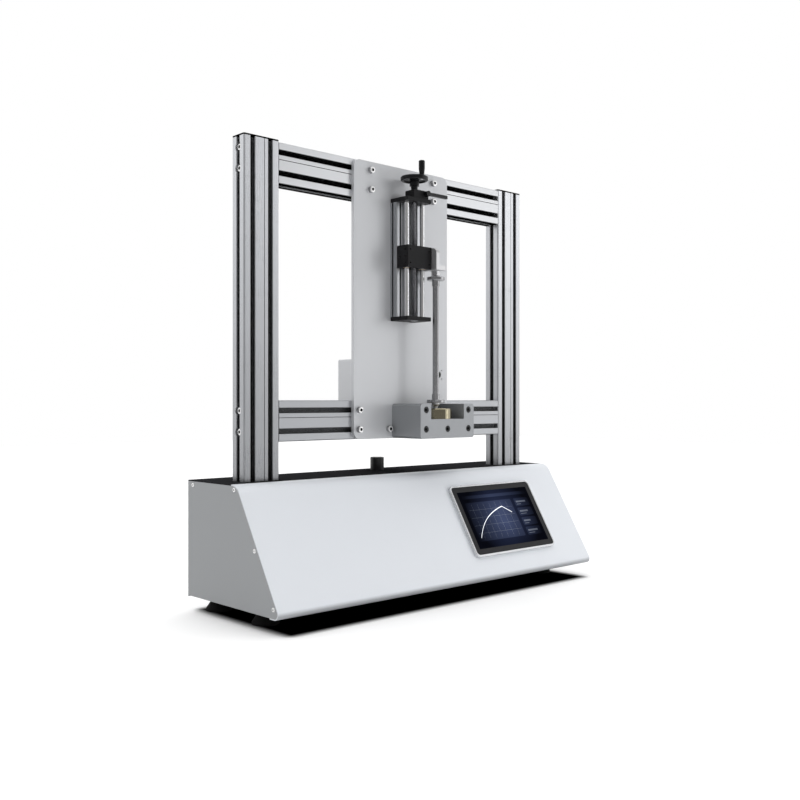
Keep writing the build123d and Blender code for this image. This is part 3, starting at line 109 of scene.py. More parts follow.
def surface(name, color, rough, metallic=0.0, grain=(400, 400, 400), tone=0.05, spread=0.06, bump=0.1,
            coat=0.0, specular=0.5, groove_shade=0.0, underside_shade=1.0, shut=0.15, clear=0.8, down=-0.9, flat=-0.3,
            painted_light_by_height=None):
    """A material with fine grain, a broad drift of tone and gloss, and slightly rounded edges.

    Groove shade is painted shade that darkens the colour and the reflection in grooves, and shut and clear
    are the shares of open view at which a groove is darkest and no longer darkened. Underside shade is
    painted shade on faces that look down, between the slopes down and flat. Light by height is painted
    light and shade: the shares of the colour at the foot and at the head of the columns.
    """
    made = bpy.data.materials.new(name)
    made.use_nodes = True
    tree = made.node_tree
    shader = tree.nodes["Principled BSDF"]
    shader.inputs["Metallic"].default_value = metallic
    shader.inputs["Coat Weight"].default_value = coat
    shader.inputs["Coat Roughness"].default_value = COAT_ROUGHNESS
    shader.inputs["Specular IOR Level"].default_value = specular
    link = tree.links.new
    place = add_node(tree, "ShaderNodeTexCoord")
    mapping = add_node(tree, "ShaderNodeMapping", {"Scale": grain})
    fine = add_node(tree, "ShaderNodeTexNoise", {"Scale": 1.0, "Detail": GRAIN_DETAIL, "Roughness": 0.6})
    drift = add_node(tree, "ShaderNodeTexNoise", {"Scale": DRIFT_SCALE, "Detail": 3.0, "Roughness": 0.55})
    link(place.outputs["Object"], mapping.inputs["Vector"])
    link(mapping.outputs["Vector"], fine.inputs["Vector"])
    link(place.outputs["Object"], drift.inputs["Vector"])
    both = add_node(tree, "ShaderNodeMath", operation="ADD")
    link(fine.outputs["Fac"], both.inputs[0])
    link(drift.outputs["Fac"], both.inputs[1])
    noise = product(tree, both.outputs[0], 0.5)
    ramp = add_node(tree, "ShaderNodeValToRGB")
    ramp.color_ramp.elements[0].position = LOW_NOISE
    ramp.color_ramp.elements[0].color = shade(color, 1 - tone)
    ramp.color_ramp.elements[1].position = HIGH_NOISE
    ramp.color_ramp.elements[1].color = shade(color, 1 + tone)
    link(noise, ramp.inputs["Fac"])
    shares = []
    # Painted shade: grooves get a darker colour where little of the open view is free
    if groove_shade:
        view = add_node(
            tree,
            "ShaderNodeAmbientOcclusion",
            {"Distance": GROOVE_SHADE_REACH},
            samples=GROOVE_SHADE_SAMPLES,
            only_local=True,
        )
        dim = add_node(
            tree,
            "ShaderNodeMapRange",
            {"From Min": shut, "From Max": clear, "To Min": 1 - groove_shade, "To Max": 1.0},
        )
        link(view.outputs["AO"], dim.inputs["Value"])
        shares.append(dim.outputs["Result"])
    # Painted shade on faces that look down
    if underside_shade < 1:
        face = add_node(tree, "ShaderNodeNewGeometry")
        parts = add_node(tree, "ShaderNodeSeparateXYZ")
        low = add_node(
            tree, "ShaderNodeMapRange", {"From Min": down, "From Max": flat, "To Min": underside_shade, "To Max": 1.0}
        )
        link(face.outputs["Normal"], parts.inputs["Vector"])
        link(parts.outputs["Z"], low.inputs["Value"])
        shares.append(low.outputs["Result"])
    tint = ramp.outputs["Color"]
    for share in shares:
        tint = scaled(tree, tint, share)
    # The painted shade also dims the metal and its reflection
    for socket, value in (("Metallic", metallic), ("Specular IOR Level", specular)):
        for share in shares:
            value = product(tree, share, value)
            link(value, shader.inputs[socket])
    # Painted light and shade by height: darker at the foot of the columns, lighter at their head
    if painted_light_by_height:
        spot = add_node(tree, "ShaderNodeSeparateXYZ")
        climb = add_node(
            tree,
            "ShaderNodeMapRange",
            {"From Min": column_low.z, "From Max": column_high.z, "To Min": painted_light_by_height[0], "To Max": painted_light_by_height[1]},
        )
        link(place.outputs["Object"], spot.inputs["Vector"])
        link(spot.outputs["Z"], climb.inputs["Value"])
        tint = scaled(tree, tint, climb.outputs["Result"])
    link(tint, shader.inputs["Base Color"])
    gloss = add_node(
        tree,
        "ShaderNodeMapRange",
        {
            "From Min": LOW_NOISE,
            "From Max": HIGH_NOISE,
            "To Min": rough - spread,
            "To Max": rough + spread,
        },
    )
    link(noise, gloss.inputs["Value"])
    link(gloss.outputs["Result"], shader.inputs["Roughness"])
    soft = add_node(tree, "ShaderNodeBevel", {"Radius": EDGE_RADIUS}, samples=EDGE_SAMPLES)
    relief = add_node(tree, "ShaderNodeBump", {"Strength": bump, "Distance": GRAIN_DEPTH})
    link(fine.outputs["Fac"], relief.inputs["Height"])
    link(soft.outputs["Normal"], relief.inputs["Normal"])
    link(relief.outputs["Normal"], shader.inputs["Normal"])
    return made


GLASS_ROUGHNESS = 0.2
GLOW_DRIFT = 9.0
GLOW_LOW = 0.55
RIM_GLOW = 0.05


def glow(name, color, strength, middle=None, reach=1.0):
    """A lit face of the display, with a faint drift of brightness, dimmer away from its middle."""
    made = bpy.data.materials.new(name)
    made.use_nodes = True
    tree = made.node_tree
    shader = tree.nodes["Principled BSDF"]
    shader.inputs["Base Color"].default_value = (0.002, 0.002, 0.003, 1.0)
    shader.inputs["Roughness"].default_value = GLASS_ROUGHNESS
    shader.inputs["Specular IOR Level"].default_value = 0.0
    shader.inputs["Emission Strength"].default_value = strength
    place = add_node(tree, "ShaderNodeTexCoord")
    drift = add_node(tree, "ShaderNodeTexNoise", {"Scale": GLOW_DRIFT, "Detail": 2.0})
    ramp = add_node(tree, "ShaderNodeValToRGB")
    ramp.color_ramp.elements[0].position = 0.25
    ramp.color_ramp.elements[0].color = shade(color, GLOW_LOW)
    ramp.color_ramp.elements[1].position = 0.75
    ramp.color_ramp.elements[1].color = shade(color, 1.0)
    tree.links.new(place.outputs["Object"], drift.inputs["Vector"])
    tree.links.new(drift.outputs["Fac"], ramp.inputs["Fac"])
    tint = ramp.outputs["Color"]
    if middle is not None:
        away = add_node(tree, "ShaderNodeVectorMath", {1: middle}, operation="DISTANCE")
        fade = add_node(
            tree,
            "ShaderNodeMapRange",
            {"From Min": 0.1 * reach, "From Max": reach, "To Min": 1.0, "To Max": RIM_GLOW},
        )
        tree.links.new(place.outputs["Object"], away.inputs[0])
        tree.links.new(away.outputs["Value"], fade.inputs["Value"])
        tint = scaled(tree, tint, fade.outputs["Result"])
    tree.links.new(tint, shader.inputs["Emission Color"])
    return made


# Grain of drawn metal, in marks per metre across and along the draw
ACROSS = 2600
ALONG = 25

# Cover paint with painted shade on faces that look down, such as the underside of the nose
cover_paint = surface(
    "cover_paint", (0.83, 0.86, 0.905), 0.40, tone=0.012, spread=0.04, bump=0.05, coat=0.1, underside_shade=0.5,
    down=-0.35, flat=0.35,
)
side_paint = surface(
    "side_paint", (0.315, 0.325, 0.335), 0.50, tone=0.02, grain=(900, 900, 900), bump=0.12, specular=0.3,
)
deck_paint = surface(
    "deck_paint", (0.026, 0.026, 0.028), 0.9, tone=0.12, grain=(1100, 1100, 1100), bump=0.25,
    specular=0.0,
)
inner_paint = surface("inner_paint", (0.30, 0.30, 0.31), 0.55)
# The columns and beams are one drawn aluminium in three base colours, as painted light and shade.
shaded_column_metal = surface(
    "shaded_column_metal", (0.47, 0.48, 0.50), 0.30, 0.75, (ACROSS, ACROSS, ALONG), bump=0.06, groove_shade=1.0,
    shut=0.6, clear=0.95, painted_light_by_height=(0.42, 1.44),
)
# Upper beam: painted lighter, with painted shade in its slots and black painted shade on its underside
lit_upper_metal = surface(
    "lit_upper_metal", (0.69, 0.70, 0.72), 0.38, 0.6, (ALONG, ACROSS, ACROSS), bump=0.06, groove_shade=1.0,
    underside_shade=0.0, shut=0.7, clear=0.97,
)
# Lower beam: painted darker, with painted shade in its slots and on its underside
shaded_lower_metal = surface(
    "shaded_lower_metal", (0.43, 0.44, 0.46), 0.42, 0.7, (ALONG, ACROSS, ACROSS), bump=0.06, groove_shade=0.97,
    underside_shade=0.3, shut=0.5, clear=0.92,
)
plate_metal = surface(
    "plate_metal", (0.585, 0.595, 0.615), 0.42, 0.3, (1800, 1800, 1800), tone=0.02, bump=0.10,
)
# Stage rail with painted shade in its grooves
rail_metal = surface(
    "rail_metal", (0.42, 0.43, 0.45), 0.30, 0.9, (ACROSS, ACROSS, ALONG), tone=0.06, bump=0.05,
    groove_shade=0.95, shut=0.5, clear=0.92,
)
# Load cell block with painted shade in its pockets and holes
block_metal = surface(
    "block_metal", (0.32, 0.33, 0.345), 0.45, 0.5, (1500, 200, 1500), tone=0.04, bump=0.10, groove_shade=0.5,
)
black_metal = surface(
    "black_metal", (0.012, 0.012, 0.013), 0.48, 0.0, (1500, 1500, 1500), tone=0.15, bump=0.15,
    specular=0.13,
)
box_paint = surface("box_paint", (0.66, 0.67, 0.69), 0.5, tone=0.02, grain=(900, 900, 900), bump=0.12)
rod_steel = surface(
    "rod_steel", (0.82, 0.82, 0.83), 0.12, 1.0, (300, 300, 1800), tone=0.05, spread=0.03, bump=0.02,
)
# Lead screw with painted shade in its thread
screw_steel = surface(
    "screw_steel", (0.18, 0.18, 0.19), 0.24, 1.0, (300, 300, 1800), tone=0.06, bump=0.06, groove_shade=0.6,
)
turned_steel = surface(
    "turned_steel", (0.36, 0.36, 0.37), 0.24, 1.0, (200, 200, 2400), tone=0.06, spread=0.03, bump=0.03,
)
milled_steel = surface("milled_steel", (0.57, 0.57, 0.58), 0.36, 0.7, (900, 300, 900), tone=0.05, bump=0.04)
bright_steel = surface("bright_steel", (0.66, 0.66, 0.67), 0.30, 0.7, (800, 800, 800), tone=0.04, bump=0.04)
zinc_steel = surface("zinc_steel", (0.90, 0.90, 0.90), 0.28, 0.6, (1500, 1500, 1500), tone=0.06, bump=0.06)
black_steel = surface(
    "black_steel", (0.014, 0.014, 0.015), 0.40, 0.3, (1500, 1500, 1500), tone=0.2, bump=0.1,
)
ram_steel = surface("ram_steel", (0.014, 0.014, 0.015), 0.36, 0.3, (200, 200, 2400), tone=0.2, bump=0.1)
bronze = surface("bronze", (0.30, 0.21, 0.10), 0.40, 1.0, (300, 300, 1800), tone=0.08)
nickel = surface(
    "nickel", (0.34, 0.305, 0.215), 0.07, 1.0, (160, 160, 2600), tone=0.06, spread=0.03, bump=0.03,
)
black_plastic = surface(
    "black_plastic", (0.012, 0.012, 0.013), 0.5, grain=(1300, 1300, 1300), tone=0.15, bump=0.2,
    specular=0.3,
)
wheel_plastic = surface(
    "wheel_plastic", (0.006, 0.006, 0.007), 0.30, grain=(900, 900, 900), tone=0.15, specular=0.22,
)
cap_plastic = surface(
    "cap_plastic", (0.002, 0.002, 0.002), 0.6, grain=(1300, 1300, 1300), tone=0.15, bump=0.2,
    specular=0.0,
)
foot_rubber = surface(
    "foot_rubber", (0.010, 0.010, 0.010), 0.8, grain=(700, 700, 700), tone=0.2, bump=0.3, specular=0.15,
)
rim_metal = surface("rim_metal", (0.66, 0.67, 0.69), 0.28, 0.6, (900, 900, 900), tone=0.03, coat=0.2)
glass_black = surface(
    "glass_black", (0.034, 0.034, 0.036), 0.30, grain=(60, 60, 60), tone=0.06, spread=0.03, bump=0.0,
    specular=0.05,
)
supply_metal = surface("supply_metal", (0.64, 0.64, 0.65), 0.4, 0.9, (ALONG, ACROSS, ACROSS))
board_green = surface("board_green", (0.03, 0.20, 0.08), 0.4, grain=(600, 600, 600), tone=0.2)
# Near-black paint inside screw sockets, as painted shade
socket_painted_shade = surface("socket_painted_shade", (0.010, 0.010, 0.010), 0.7, grain=(900, 900, 900), specular=0.1)
# Knurled head sides: a real knurl, painted darker than the zinc as shade
shaded_knurl_steel = surface("shaded_knurl_steel", (0.34, 0.34, 0.35), 0.38, 0.9, (1500, 1500, 1500), tone=0.2, bump=0.4)
white_print = surface("white_print", (0.75, 0.75, 0.75), 0.5, grain=(900, 900, 900))

looks = {
    cover_paint: ["front_cover"],
    side_paint: ["left_side_panel", "right_side_panel", "rear_panel"],
    deck_paint: ["top_deck"],
    inner_paint: ["floor_plate", "inner_frame"],
    shaded_column_metal: ["left_column", "right_column"],
    lit_upper_metal: ["upper_beam"],
    shaded_lower_metal: ["lower_beam"],
    plate_metal: ["mounting_plate"],
    rail_metal: ["stage_rail"],
    block_metal: ["load_cell_block"],
    black_metal: [
        "stage_top_plate",
        "stage_bottom_plate",
        "carriage",
        "clamp_block",
        "drive_housing",
        "drive_motor",
    ],
    box_paint: ["rear_box", "rear_box_cover"],
    rod_steel: ["guide_rods"],
    screw_steel: ["lead_screw"],
    turned_steel: ["push_rod", "rod_collars", "rod_stud", "drive_screw", "ram_guide", "screw_bearings"],
    milled_steel: ["bracket"],
    bright_steel: ["rod_nose", "crank_stud"],
    zinc_steel: [
        "frame_washers",
        "frame_screws",
        "plate_screws",
        "stage_screws",
        "bracket_screws",
        "side_panel_screws",
        "rear_panel_screws",
        "slot_nuts",
    ],
    black_steel: ["block_screws"],
    ram_steel: ["ram"],
    bronze: ["carriage_bushes", "lead_nut", "ram_nut"],
    nickel: ["load_cell"],
    black_plastic: ["power_inlet", "switch_rocker", "sensor_socket", "screen_housing"],
    wheel_plastic: ["handwheel", "crank_handle", "lock_lever"],
    cap_plastic: ["column_caps"],
    foot_rubber: ["rubber_feet"],
    rim_metal: ["screen_rim"],
    glass_black: ["screen_glass"],
    supply_metal: ["power_supply"],
    board_green: ["control_board"],
}
for look, names in looks.items():
    for name in names:
        slots = nodes[name].data.materials
        slots.clear()
        slots.append(look)


def new_piece(name, points, faces, body, slot, *materials):
    """A mesh piece in the row frame that rides on a body."""
    mesh = bpy.data.meshes.new(name)
    mesh.from_pydata([tuple(point) for point in points], [], faces)
    mesh.validate()
    mesh.update()
    made = bpy.data.objects.new(name, mesh)
    scene.collection.objects.link(made)
    for material in materials:
        mesh.materials.append(material)
    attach(made, body)
    return made


def smooth_by_angle(piece, angle):
    """Smooth shading that keeps edges sharper than the angle."""
    mesh = piece.data
    mesh.shade_smooth()
    mesh.set_sharp_from_angle(angle=math.radians(angle))


def islands(name):
    """Lists of points, one list for each separate solid of a CAD node."""
    mesh = nodes[name].data
    keys = {}
    index = []
    for vertex in mesh.vertices:
        key = tuple(round(value * 1e5) for value in vertex.co)
        index.append(keys.setdefault(key, len(keys)))
    parent = list(range(len(keys)))

    def root(item):
        while parent[item] != item:
            parent[item] = parent[parent[item]]
            item = parent[item]
        return item

    for polygon in mesh.polygons:
        first = root(index[polygon.vertices[0]])
        for vertex in polygon.vertices[1:]:
            parent[root(index[vertex])] = first
    groups = {}
    for vertex in mesh.vertices:
        groups.setdefault(root(index[vertex.index]), []).append(vertex.co.copy())
    return list(groups.values())


def span(points):
    """Lowest and highest corner of some points."""
    low = Vector([min(point[i] for point in points) for i in range(3)])
    high = Vector([max(point[i] for point in points) for i in range(3)])
    return low, high


def rings_mesh(rings, matrix, points, faces):
    """Joins rings of equal length into a closed skin, with a cap at each end."""
    count = len(rings[0])
    start = len(points)
    for ring in rings:
        points.extend(matrix @ Vector(point) for point in ring)
    for row in range(len(rings) - 1):
        for i in range(count):
            j = (i + 1) % count
            a = start + row * count
            b = a + count
            faces.append((a + i, a + j, b + j, b + i))
    faces.append(tuple(range(start + count - 1, start - 1, -1)))
    last = start + (len(rings) - 1) * count
    faces.append(tuple(range(last, last + count)))


def circle_ring(radius, z, count):
    """Points round the local z axis."""
    turns = [2 * math.pi * i / count for i in range(count)]
    return [(radius * math.cos(turn), radius * math.sin(turn), z) for turn in turns]


def hexagon_ring(across, z, count):
    """Points along a hexagon, at the same angles as those of a circle."""
    ring = []
    sixth = math.pi / 3
    for i in range(count):
        turn = 2 * math.pi * i / count
        off = (turn + sixth / 2) % sixth - sixth / 2
        radius = across / 2 / math.cos(off)
        ring.append((radius * math.cos(turn), radius * math.sin(turn), z))
    return ring


SCREW_SIDES = 24
SCREW_SHARP = 32
RIM_SHARE = 0.97
SOCKET_FLOOR = 0.45
SOCKET_BREAK = 0.1
EDGE_BREAK = 0.3
SAME_PLACE = 0.01 * MM

# Width of the socket as a share of the head's radius, and of the rounded edge as a share of its height
CAP_KEY = 0.92
SMALL_CAP_KEY = 0.95
CAP_EDGE = 0.14
BUTTON_KEY = 0.70
BUTTON_EDGE = 0.75


def screw_heads(piece_name, node, slot, material, body, key_share, dome, axis=None, side_material=None):
    """Replaces a node of screws by finer ones: rounded heads with a hexagonal socket in painted shade."""
    points = []
    faces = []
    sockets = set()
    sides_of_heads = set()
    for solid in islands(node):
        low, high = span(solid)
        size = high - low
        along = axis if axis is not None else max(range(3), key=lambda i: size[i])
        centre = (low + high) / 2
        others = [i for i in range(3) if i != along]
        radius = max(size[i] for i in others) / 2
        rim = [p for p in solid if math.hypot(*[(p - centre)[i] for i in others]) > RIM_SHARE * radius]
        head_low = min(p[along] for p in rim)
        head_high = max(p[along] for p in rim)
        outward = 1 if head_low + head_high > low[along] + high[along] else -1
        top = high[along] if outward > 0 else low[along]
        seat = head_low if outward > 0 else head_high
        tail = low[along] if outward > 0 else high[along]
        height = abs(top - seat)
        end = [p for p in solid if abs(p[along] - tail) < SAME_PLACE]
        shank = min(math.hypot(*[(p - centre)[i] for i in others]) for p in end)
        direction = Vector((0, 0, 0))
        direction[along] = outward
        origin = centre.copy()
        origin[along] = seat
        matrix = Matrix.Translation(origin) @ direction.to_track_quat("Z", "Y").to_matrix().to_4x4()
        key = radius * key_share
        edge = height * dome
        sides = SCREW_SIDES
        rings = [
            circle_ring(shank, -abs(seat - tail), sides),
            circle_ring(shank, 0, sides),
            circle_ring(radius, 0, sides),
            circle_ring(radius, height - edge, sides),
            circle_ring(radius - EDGE_BREAK * edge, height - EDGE_BREAK * edge, sides),
            circle_ring(radius - edge, height, sides),
            hexagon_ring(key + SOCKET_BREAK * edge, height, sides),
            hexagon_ring(key, height - SOCKET_BREAK * edge, sides),
            hexagon_ring(key, height * SOCKET_FLOOR, sides),
        ]
        rings_mesh(rings, matrix, points, faces)
        first_face = len(faces) - 2 - sides * (len(rings) - 1)
        first_socket = len(faces) - 2 - sides
        sockets.update(range(first_socket, len(faces) - 2))
        sockets.add(len(faces) - 1)
        sides_of_heads.update(range(first_face + 2 * sides, first_face + 3 * sides))
    piece = new_piece(piece_name, points, faces, body, slot, material, socket_painted_shade, side_material or material)
    for polygon in piece.data.polygons:
        if polygon.index in sockets:
            polygon.material_index = 1
        elif polygon.index in sides_of_heads:
            polygon.material_index = 2
    smooth_by_angle(piece, SCREW_SHARP)
    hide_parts(node)


# The plate screws' heads get the knurl material on their sides, painted darker as shade
screw_heads(
    "plate_cap_screws", "plate_screws", "zinc_steel", zinc_steel, FRAME_BODY, CAP_KEY, CAP_EDGE,
    axis=1, side_material=shaded_knurl_steel,
)
screw_heads("frame_cap_screws", "frame_screws", "zinc_steel", zinc_steel, FRAME_BODY, CAP_KEY, CAP_EDGE)
screw_heads(
    "block_cap_screws", "block_screws", "black_oxide", black_steel, FRAME_BODY, CAP_KEY, CAP_EDGE, axis=1
)
screw_heads(
    "stage_cap_screws", "stage_screws", "zinc_steel", zinc_steel, FRAME_BODY, SMALL_CAP_KEY, CAP_EDGE, axis=1
)
screw_heads(
    "bracket_cap_screws", "bracket_screws", "zinc_steel", zinc_steel, CARRIAGE_BODY, CAP_KEY, CAP_EDGE, axis=0
)
screw_heads(
    "side_button_screws", "side_panel_screws", "zinc_steel", zinc_steel, FRAME_BODY, BUTTON_KEY, BUTTON_EDGE,
    axis=0,
)
screw_heads(
    "rear_button_screws", "rear_panel_screws", "zinc_steel", zinc_steel, FRAME_BODY, BUTTON_KEY, BUTTON_EDGE,
    axis=1,
)

# Lead screw with its thread: four starts, right-handed, one turn in ten millimetres
THREAD_LEAD = 10 * MM
THREAD_STARTS = 4
THREAD_DEPTH = 0.9 * MM
THREAD_SIDES = 20
THREAD_STEPS = 6
THREAD_PEAK = 2.6
THREAD_SLOPE = 9.0
THREAD_END_GAP = 0.5 * MM
THREAD_SHARP = 50
JOURNAL_STEP = 1.0 * MM


def thread_height(phase):
    """Share of the thread's depth at a phase of its pitch: a peak cut to a flat crest and a flat root."""
    return min(1.0, max(0.0, THREAD_PEAK - THREAD_SLOPE * abs(phase - 0.5)))


def threaded_screw():
    """The lead screw as a turned shaft with a thread between the end plates."""
    low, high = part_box("lead_screw")
    axis_x = (low.x + high.x) / 2
    axis_y = (low.y + high.y) / 2
    crest = (high.x - low.x) / 2
    thread_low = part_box("stage_bottom_plate")[1].z + THREAD_END_GAP
    thread_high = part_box("stage_top_plate")[0].z - THREAD_END_GAP
    journal = crest - JOURNAL_STEP
    pitch = THREAD_LEAD / THREAD_STARTS
    steps = round((thread_high - thread_low) / pitch * THREAD_STEPS)
    rings = [circle_ring(journal, low.z, THREAD_SIDES), circle_ring(journal, thread_low, THREAD_SIDES)]
    for step in range(steps + 1):
        z = thread_low + (thread_high - thread_low) * step / steps
        ring = []
        for i in range(THREAD_SIDES):
            share = i / THREAD_SIDES
            turn = 2 * math.pi * share
            phase = ((z - THREAD_LEAD * share) / pitch) % 1.0
            radius = crest - THREAD_DEPTH * (1 - thread_height(phase))
            ring.append((radius * math.cos(turn), radius * math.sin(turn), z))
        rings.append(ring)
    rings += [circle_ring(journal, thread_high, THREAD_SIDES), circle_ring(journal, high.z, THREAD_SIDES)]
    points = []
    faces = []
    rings_mesh(rings, Matrix.Translation((axis_x, axis_y, 0)), points, faces)
    piece = new_piece("threaded_lead_screw", points, faces, WHEEL_BODY, "steel", screw_steel)
    smooth_by_angle(piece, THREAD_SHARP)
    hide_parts("lead_screw")


threaded_screw()

# Set screws in the collars of the push rod
SET_SCREW = 1.8 * MM
SET_SCREW_KEY = 1.6 * MM
SET_SCREW_KEY_DEPTH = 1.0 * MM
SET_SCREW_SUNK = 1.0 * MM
SET_SCREW_PROUD = 2.0 * MM
SET_SCREW_CONE = 0.4 * MM
SET_SCREW_EDGE = 0.3 * MM
SET_SCREW_SIDES = 12
SET_SCREW_SHARP = 35
HUB_RADIUS = 8.2 * MM
HUB_SHARE = 0.6
HUB_MIDDLE = 6 * MM


def set_screws():
    """A small socket screw on the right side of each collar's hub."""
    points = []
    faces = []
    sides = SET_SCREW_SIDES
    for solid in islands("rod_collars"):
        low, high = span(solid)
        centre = (low + high) / 2
        top = [p for p in solid if abs(p.z - high.z) < SAME_PLACE]
        top_radius = max(math.hypot(p.x - centre.x, p.y - centre.y) for p in top)
        hub_up = top_radius < HUB_SHARE * (high.x - low.x) / 2
        z = high.z - HUB_MIDDLE if hub_up else low.z + HUB_MIDDLE
        place = Matrix.Translation((centre.x + HUB_RADIUS, centre.y, z))
        matrix = place @ Matrix.Rotation(math.pi / 2, 4, "Y")
        rings = [
            circle_ring(SET_SCREW, -SET_SCREW_SUNK, sides),
            circle_ring(SET_SCREW, SET_SCREW_PROUD - SET_SCREW_CONE, sides),
            circle_ring(SET_SCREW - SET_SCREW_EDGE, SET_SCREW_PROUD, sides),
            hexagon_ring(SET_SCREW_KEY, SET_SCREW_PROUD, sides),
            hexagon_ring(SET_SCREW_KEY, SET_SCREW_PROUD - SET_SCREW_KEY_DEPTH, sides),
        ]
        rings_mesh(rings, matrix, points, faces)
    piece = new_piece("collar_set_screws", points, faces, CARRIAGE_BODY, "black_oxide", black_steel)
    smooth_by_angle(piece, SET_SCREW_SHARP)


set_screws()

# Display: a dark panel with a plot, a column of tiles and a status bar, all on the glass
DISPLAY_WIDTH = 226 * MM
DISPLAY_HEIGHT = 132 * MM
DISPLAY_CORNER = 1 * MM
DISPLAY_LIFT = 0.12 * MM
CONTENT_SIDE = 103 * MM
PANEL_CORNER = 3 * MM
CORNER_STEPS = 6
PLOT_BOTTOM = -50 * MM
PLOT_RIGHT = 45 * MM
PLOT_TOP = 40 * MM
GRID_COLUMNS = 8
GRID_ROWS = 5
GRID_INSET = 4 * MM
GRID_LINE = 0.35 * MM
STATUS_BOTTOM = 49 * MM
STATUS_TOP = 56.5 * MM
TILES = 4
TILE_LEFT = 55 * MM
TILE_HEIGHT = 19.5 * MM
TILE_PITCH = 23.5 * MM
BAR_LEFT = 60 * MM
SMALL_BAR_RIGHT = 74 * MM
SMALL_BAR_STEP = 6 * MM
SMALL_BAR_FROM_TOP = (15.5 * MM, 14 * MM)
LARGE_BAR_RIGHT = 92 * MM
LARGE_BAR_STEP = 5 * MM
LARGE_BAR_FROM_TOP = (10.5 * MM, 6.5 * MM)
TRACE_POINTS = 40
TRACE_INSET = 8 * MM
TRACE_LENGTH = 128 * MM
TRACE_HEIGHT = 60 * MM
TRACE_BEND = 3.2
TRACE_CLIMB = 0.25
TRACE_BREAK = 0.8
TRACE_DROP = 22 * MM
TRACE_HALF = 0.8 * MM
BACK, PANEL, LINE, TRACE = range(4)

glass_low, glass_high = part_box("screen_glass")
glass_middle = (glass_low + glass_high) / 2
display_back = glow("display_back", (0.030, 0.042, 0.100), 0.8, middle=glass_middle, reach=0.10)
display_panel = glow("display_panel", (0.070, 0.092, 0.185), 0.9, middle=glass_middle, reach=0.11)
display_line = glow("display_line", (0.30, 0.34, 0.44), 1.0, middle=glass_middle, reach=0.15)
display_trace = glow("display_trace", (0.92, 0.95, 1.0), 2.2)


def box_outline(x0, y0, x1, y1):
    """Corners of a rectangle, anticlockwise."""
    return [(x0, y0), (x1, y0), (x1, y1), (x0, y1)]


def rounded_outline(x0, y0, x1, y1, radius):
    """Outline of a rectangle with rounded corners, anticlockwise."""
    outline = []
    centres = box_outline(x0 + radius, y0 + radius, x1 - radius, y1 - radius)
    for centre, first in zip(centres[1:] + centres[:1], (-90, 0, 90, 180)):
        for step in range(CORNER_STEPS + 1):
            turn = math.radians(first + 90 * step / CORNER_STEPS)
            outline.append((centre[0] + radius * math.cos(turn), centre[1] + radius * math.sin(turn)))
    return outline


def display_shapes():
    """Outlines on the display, each with its brightness."""
    half_w = DISPLAY_WIDTH / 2
    half_h = DISPLAY_HEIGHT / 2
    shapes = [(rounded_outline(-half_w, -half_h, half_w, half_h, DISPLAY_CORNER), BACK)]
    left = -CONTENT_SIDE
    shapes.append((rounded_outline(left, PLOT_BOTTOM, PLOT_RIGHT, PLOT_TOP, PANEL_CORNER), PANEL))
    half = GRID_LINE / 2
    for step in range(1, GRID_COLUMNS):
        x = left + (PLOT_RIGHT - left) * step / GRID_COLUMNS
        line = box_outline(x - half, PLOT_BOTTOM + GRID_INSET, x + half, PLOT_TOP - GRID_INSET)
        shapes.append((line, LINE))
    for step in range(1, GRID_ROWS):
        y = PLOT_BOTTOM + (PLOT_TOP - PLOT_BOTTOM) * step / GRID_ROWS
        line = box_outline(left + GRID_INSET, y - half, PLOT_RIGHT - GRID_INSET, y + half)
        shapes.append((line, LINE))
    shapes.append((box_outline(left, STATUS_BOTTOM, CONTENT_SIDE, STATUS_TOP), PANEL))
    for step in range(TILES):
        top = PLOT_TOP - TILE_PITCH * step
        tile = rounded_outline(TILE_LEFT, top - TILE_HEIGHT, CONTENT_SIDE, top, PANEL_CORNER)
        shapes.append((tile, PANEL))
        for right, (low, high) in (
            (SMALL_BAR_RIGHT + SMALL_BAR_STEP * (step % 2), SMALL_BAR_FROM_TOP),
            (LARGE_BAR_RIGHT - LARGE_BAR_STEP * (step % 3), LARGE_BAR_FROM_TOP),
        ):
            shapes.append((box_outline(BAR_LEFT, top - low, right, top - high), LINE))
    trace = []
    for step in range(TRACE_POINTS + 1):
        t = step / TRACE_POINTS
        y = TRACE_HEIGHT * (1 - math.exp(-TRACE_BEND * t)) * (1 + TRACE_CLIMB * t)
        y -= TRACE_DROP * max(0.0, t - TRACE_BREAK) / (1 - TRACE_BREAK)
        trace.append((left + TRACE_INSET + TRACE_LENGTH * t, PLOT_BOTTOM + TRACE_INSET + y))
    for (x0, y0), (x1, y1) in zip(trace, trace[1:]):
        stretch = [(x0, y0 - TRACE_HALF), (x1, y1 - TRACE_HALF), (x1, y1 + TRACE_HALF), (x0, y0 + TRACE_HALF)]
        shapes.append((stretch, TRACE))
    return shapes


def display():
    """Flat shapes in the plane of the glass, one material and one layer for each brightness."""
    glass = nodes["screen_glass"].data
    front = max(glass.polygons, key=lambda polygon: polygon.area if polygon.normal.y < 0 else 0)
    normal = front.normal.copy()
    across = Vector((1, 0, 0))
    up = normal.cross(across)
    top = max(normal.dot(vertex.co) for vertex in glass.vertices)
    centre = glass_middle + normal * (top - normal.dot(glass_middle))
    points = []
    faces = []
    marks = []
    for outline, mark in display_shapes():
        start = len(points)
        lift = normal * (DISPLAY_LIFT * (mark + 1))
        points.extend(centre + across * x + up * y + lift for x, y in outline)
        faces.append(tuple(range(start, start + len(outline))))
        marks.append(mark)
    piece = new_piece(
        "screen_display", points, faces, FRAME_BODY, "screen_face",
        display_back, display_panel, display_line, display_trace,
    )
    for polygon, mark in zip(piece.data.polygons, marks):
        polygon.material_index = mark


display()

# Marks of the power switch
MARK_LIFT = 0.05 * MM
MARK_HEIGHT = 4.0 * MM
MARK_STROKE = 0.7 * MM
MARK_SIDES = 24
REAR_FACING = 0.7


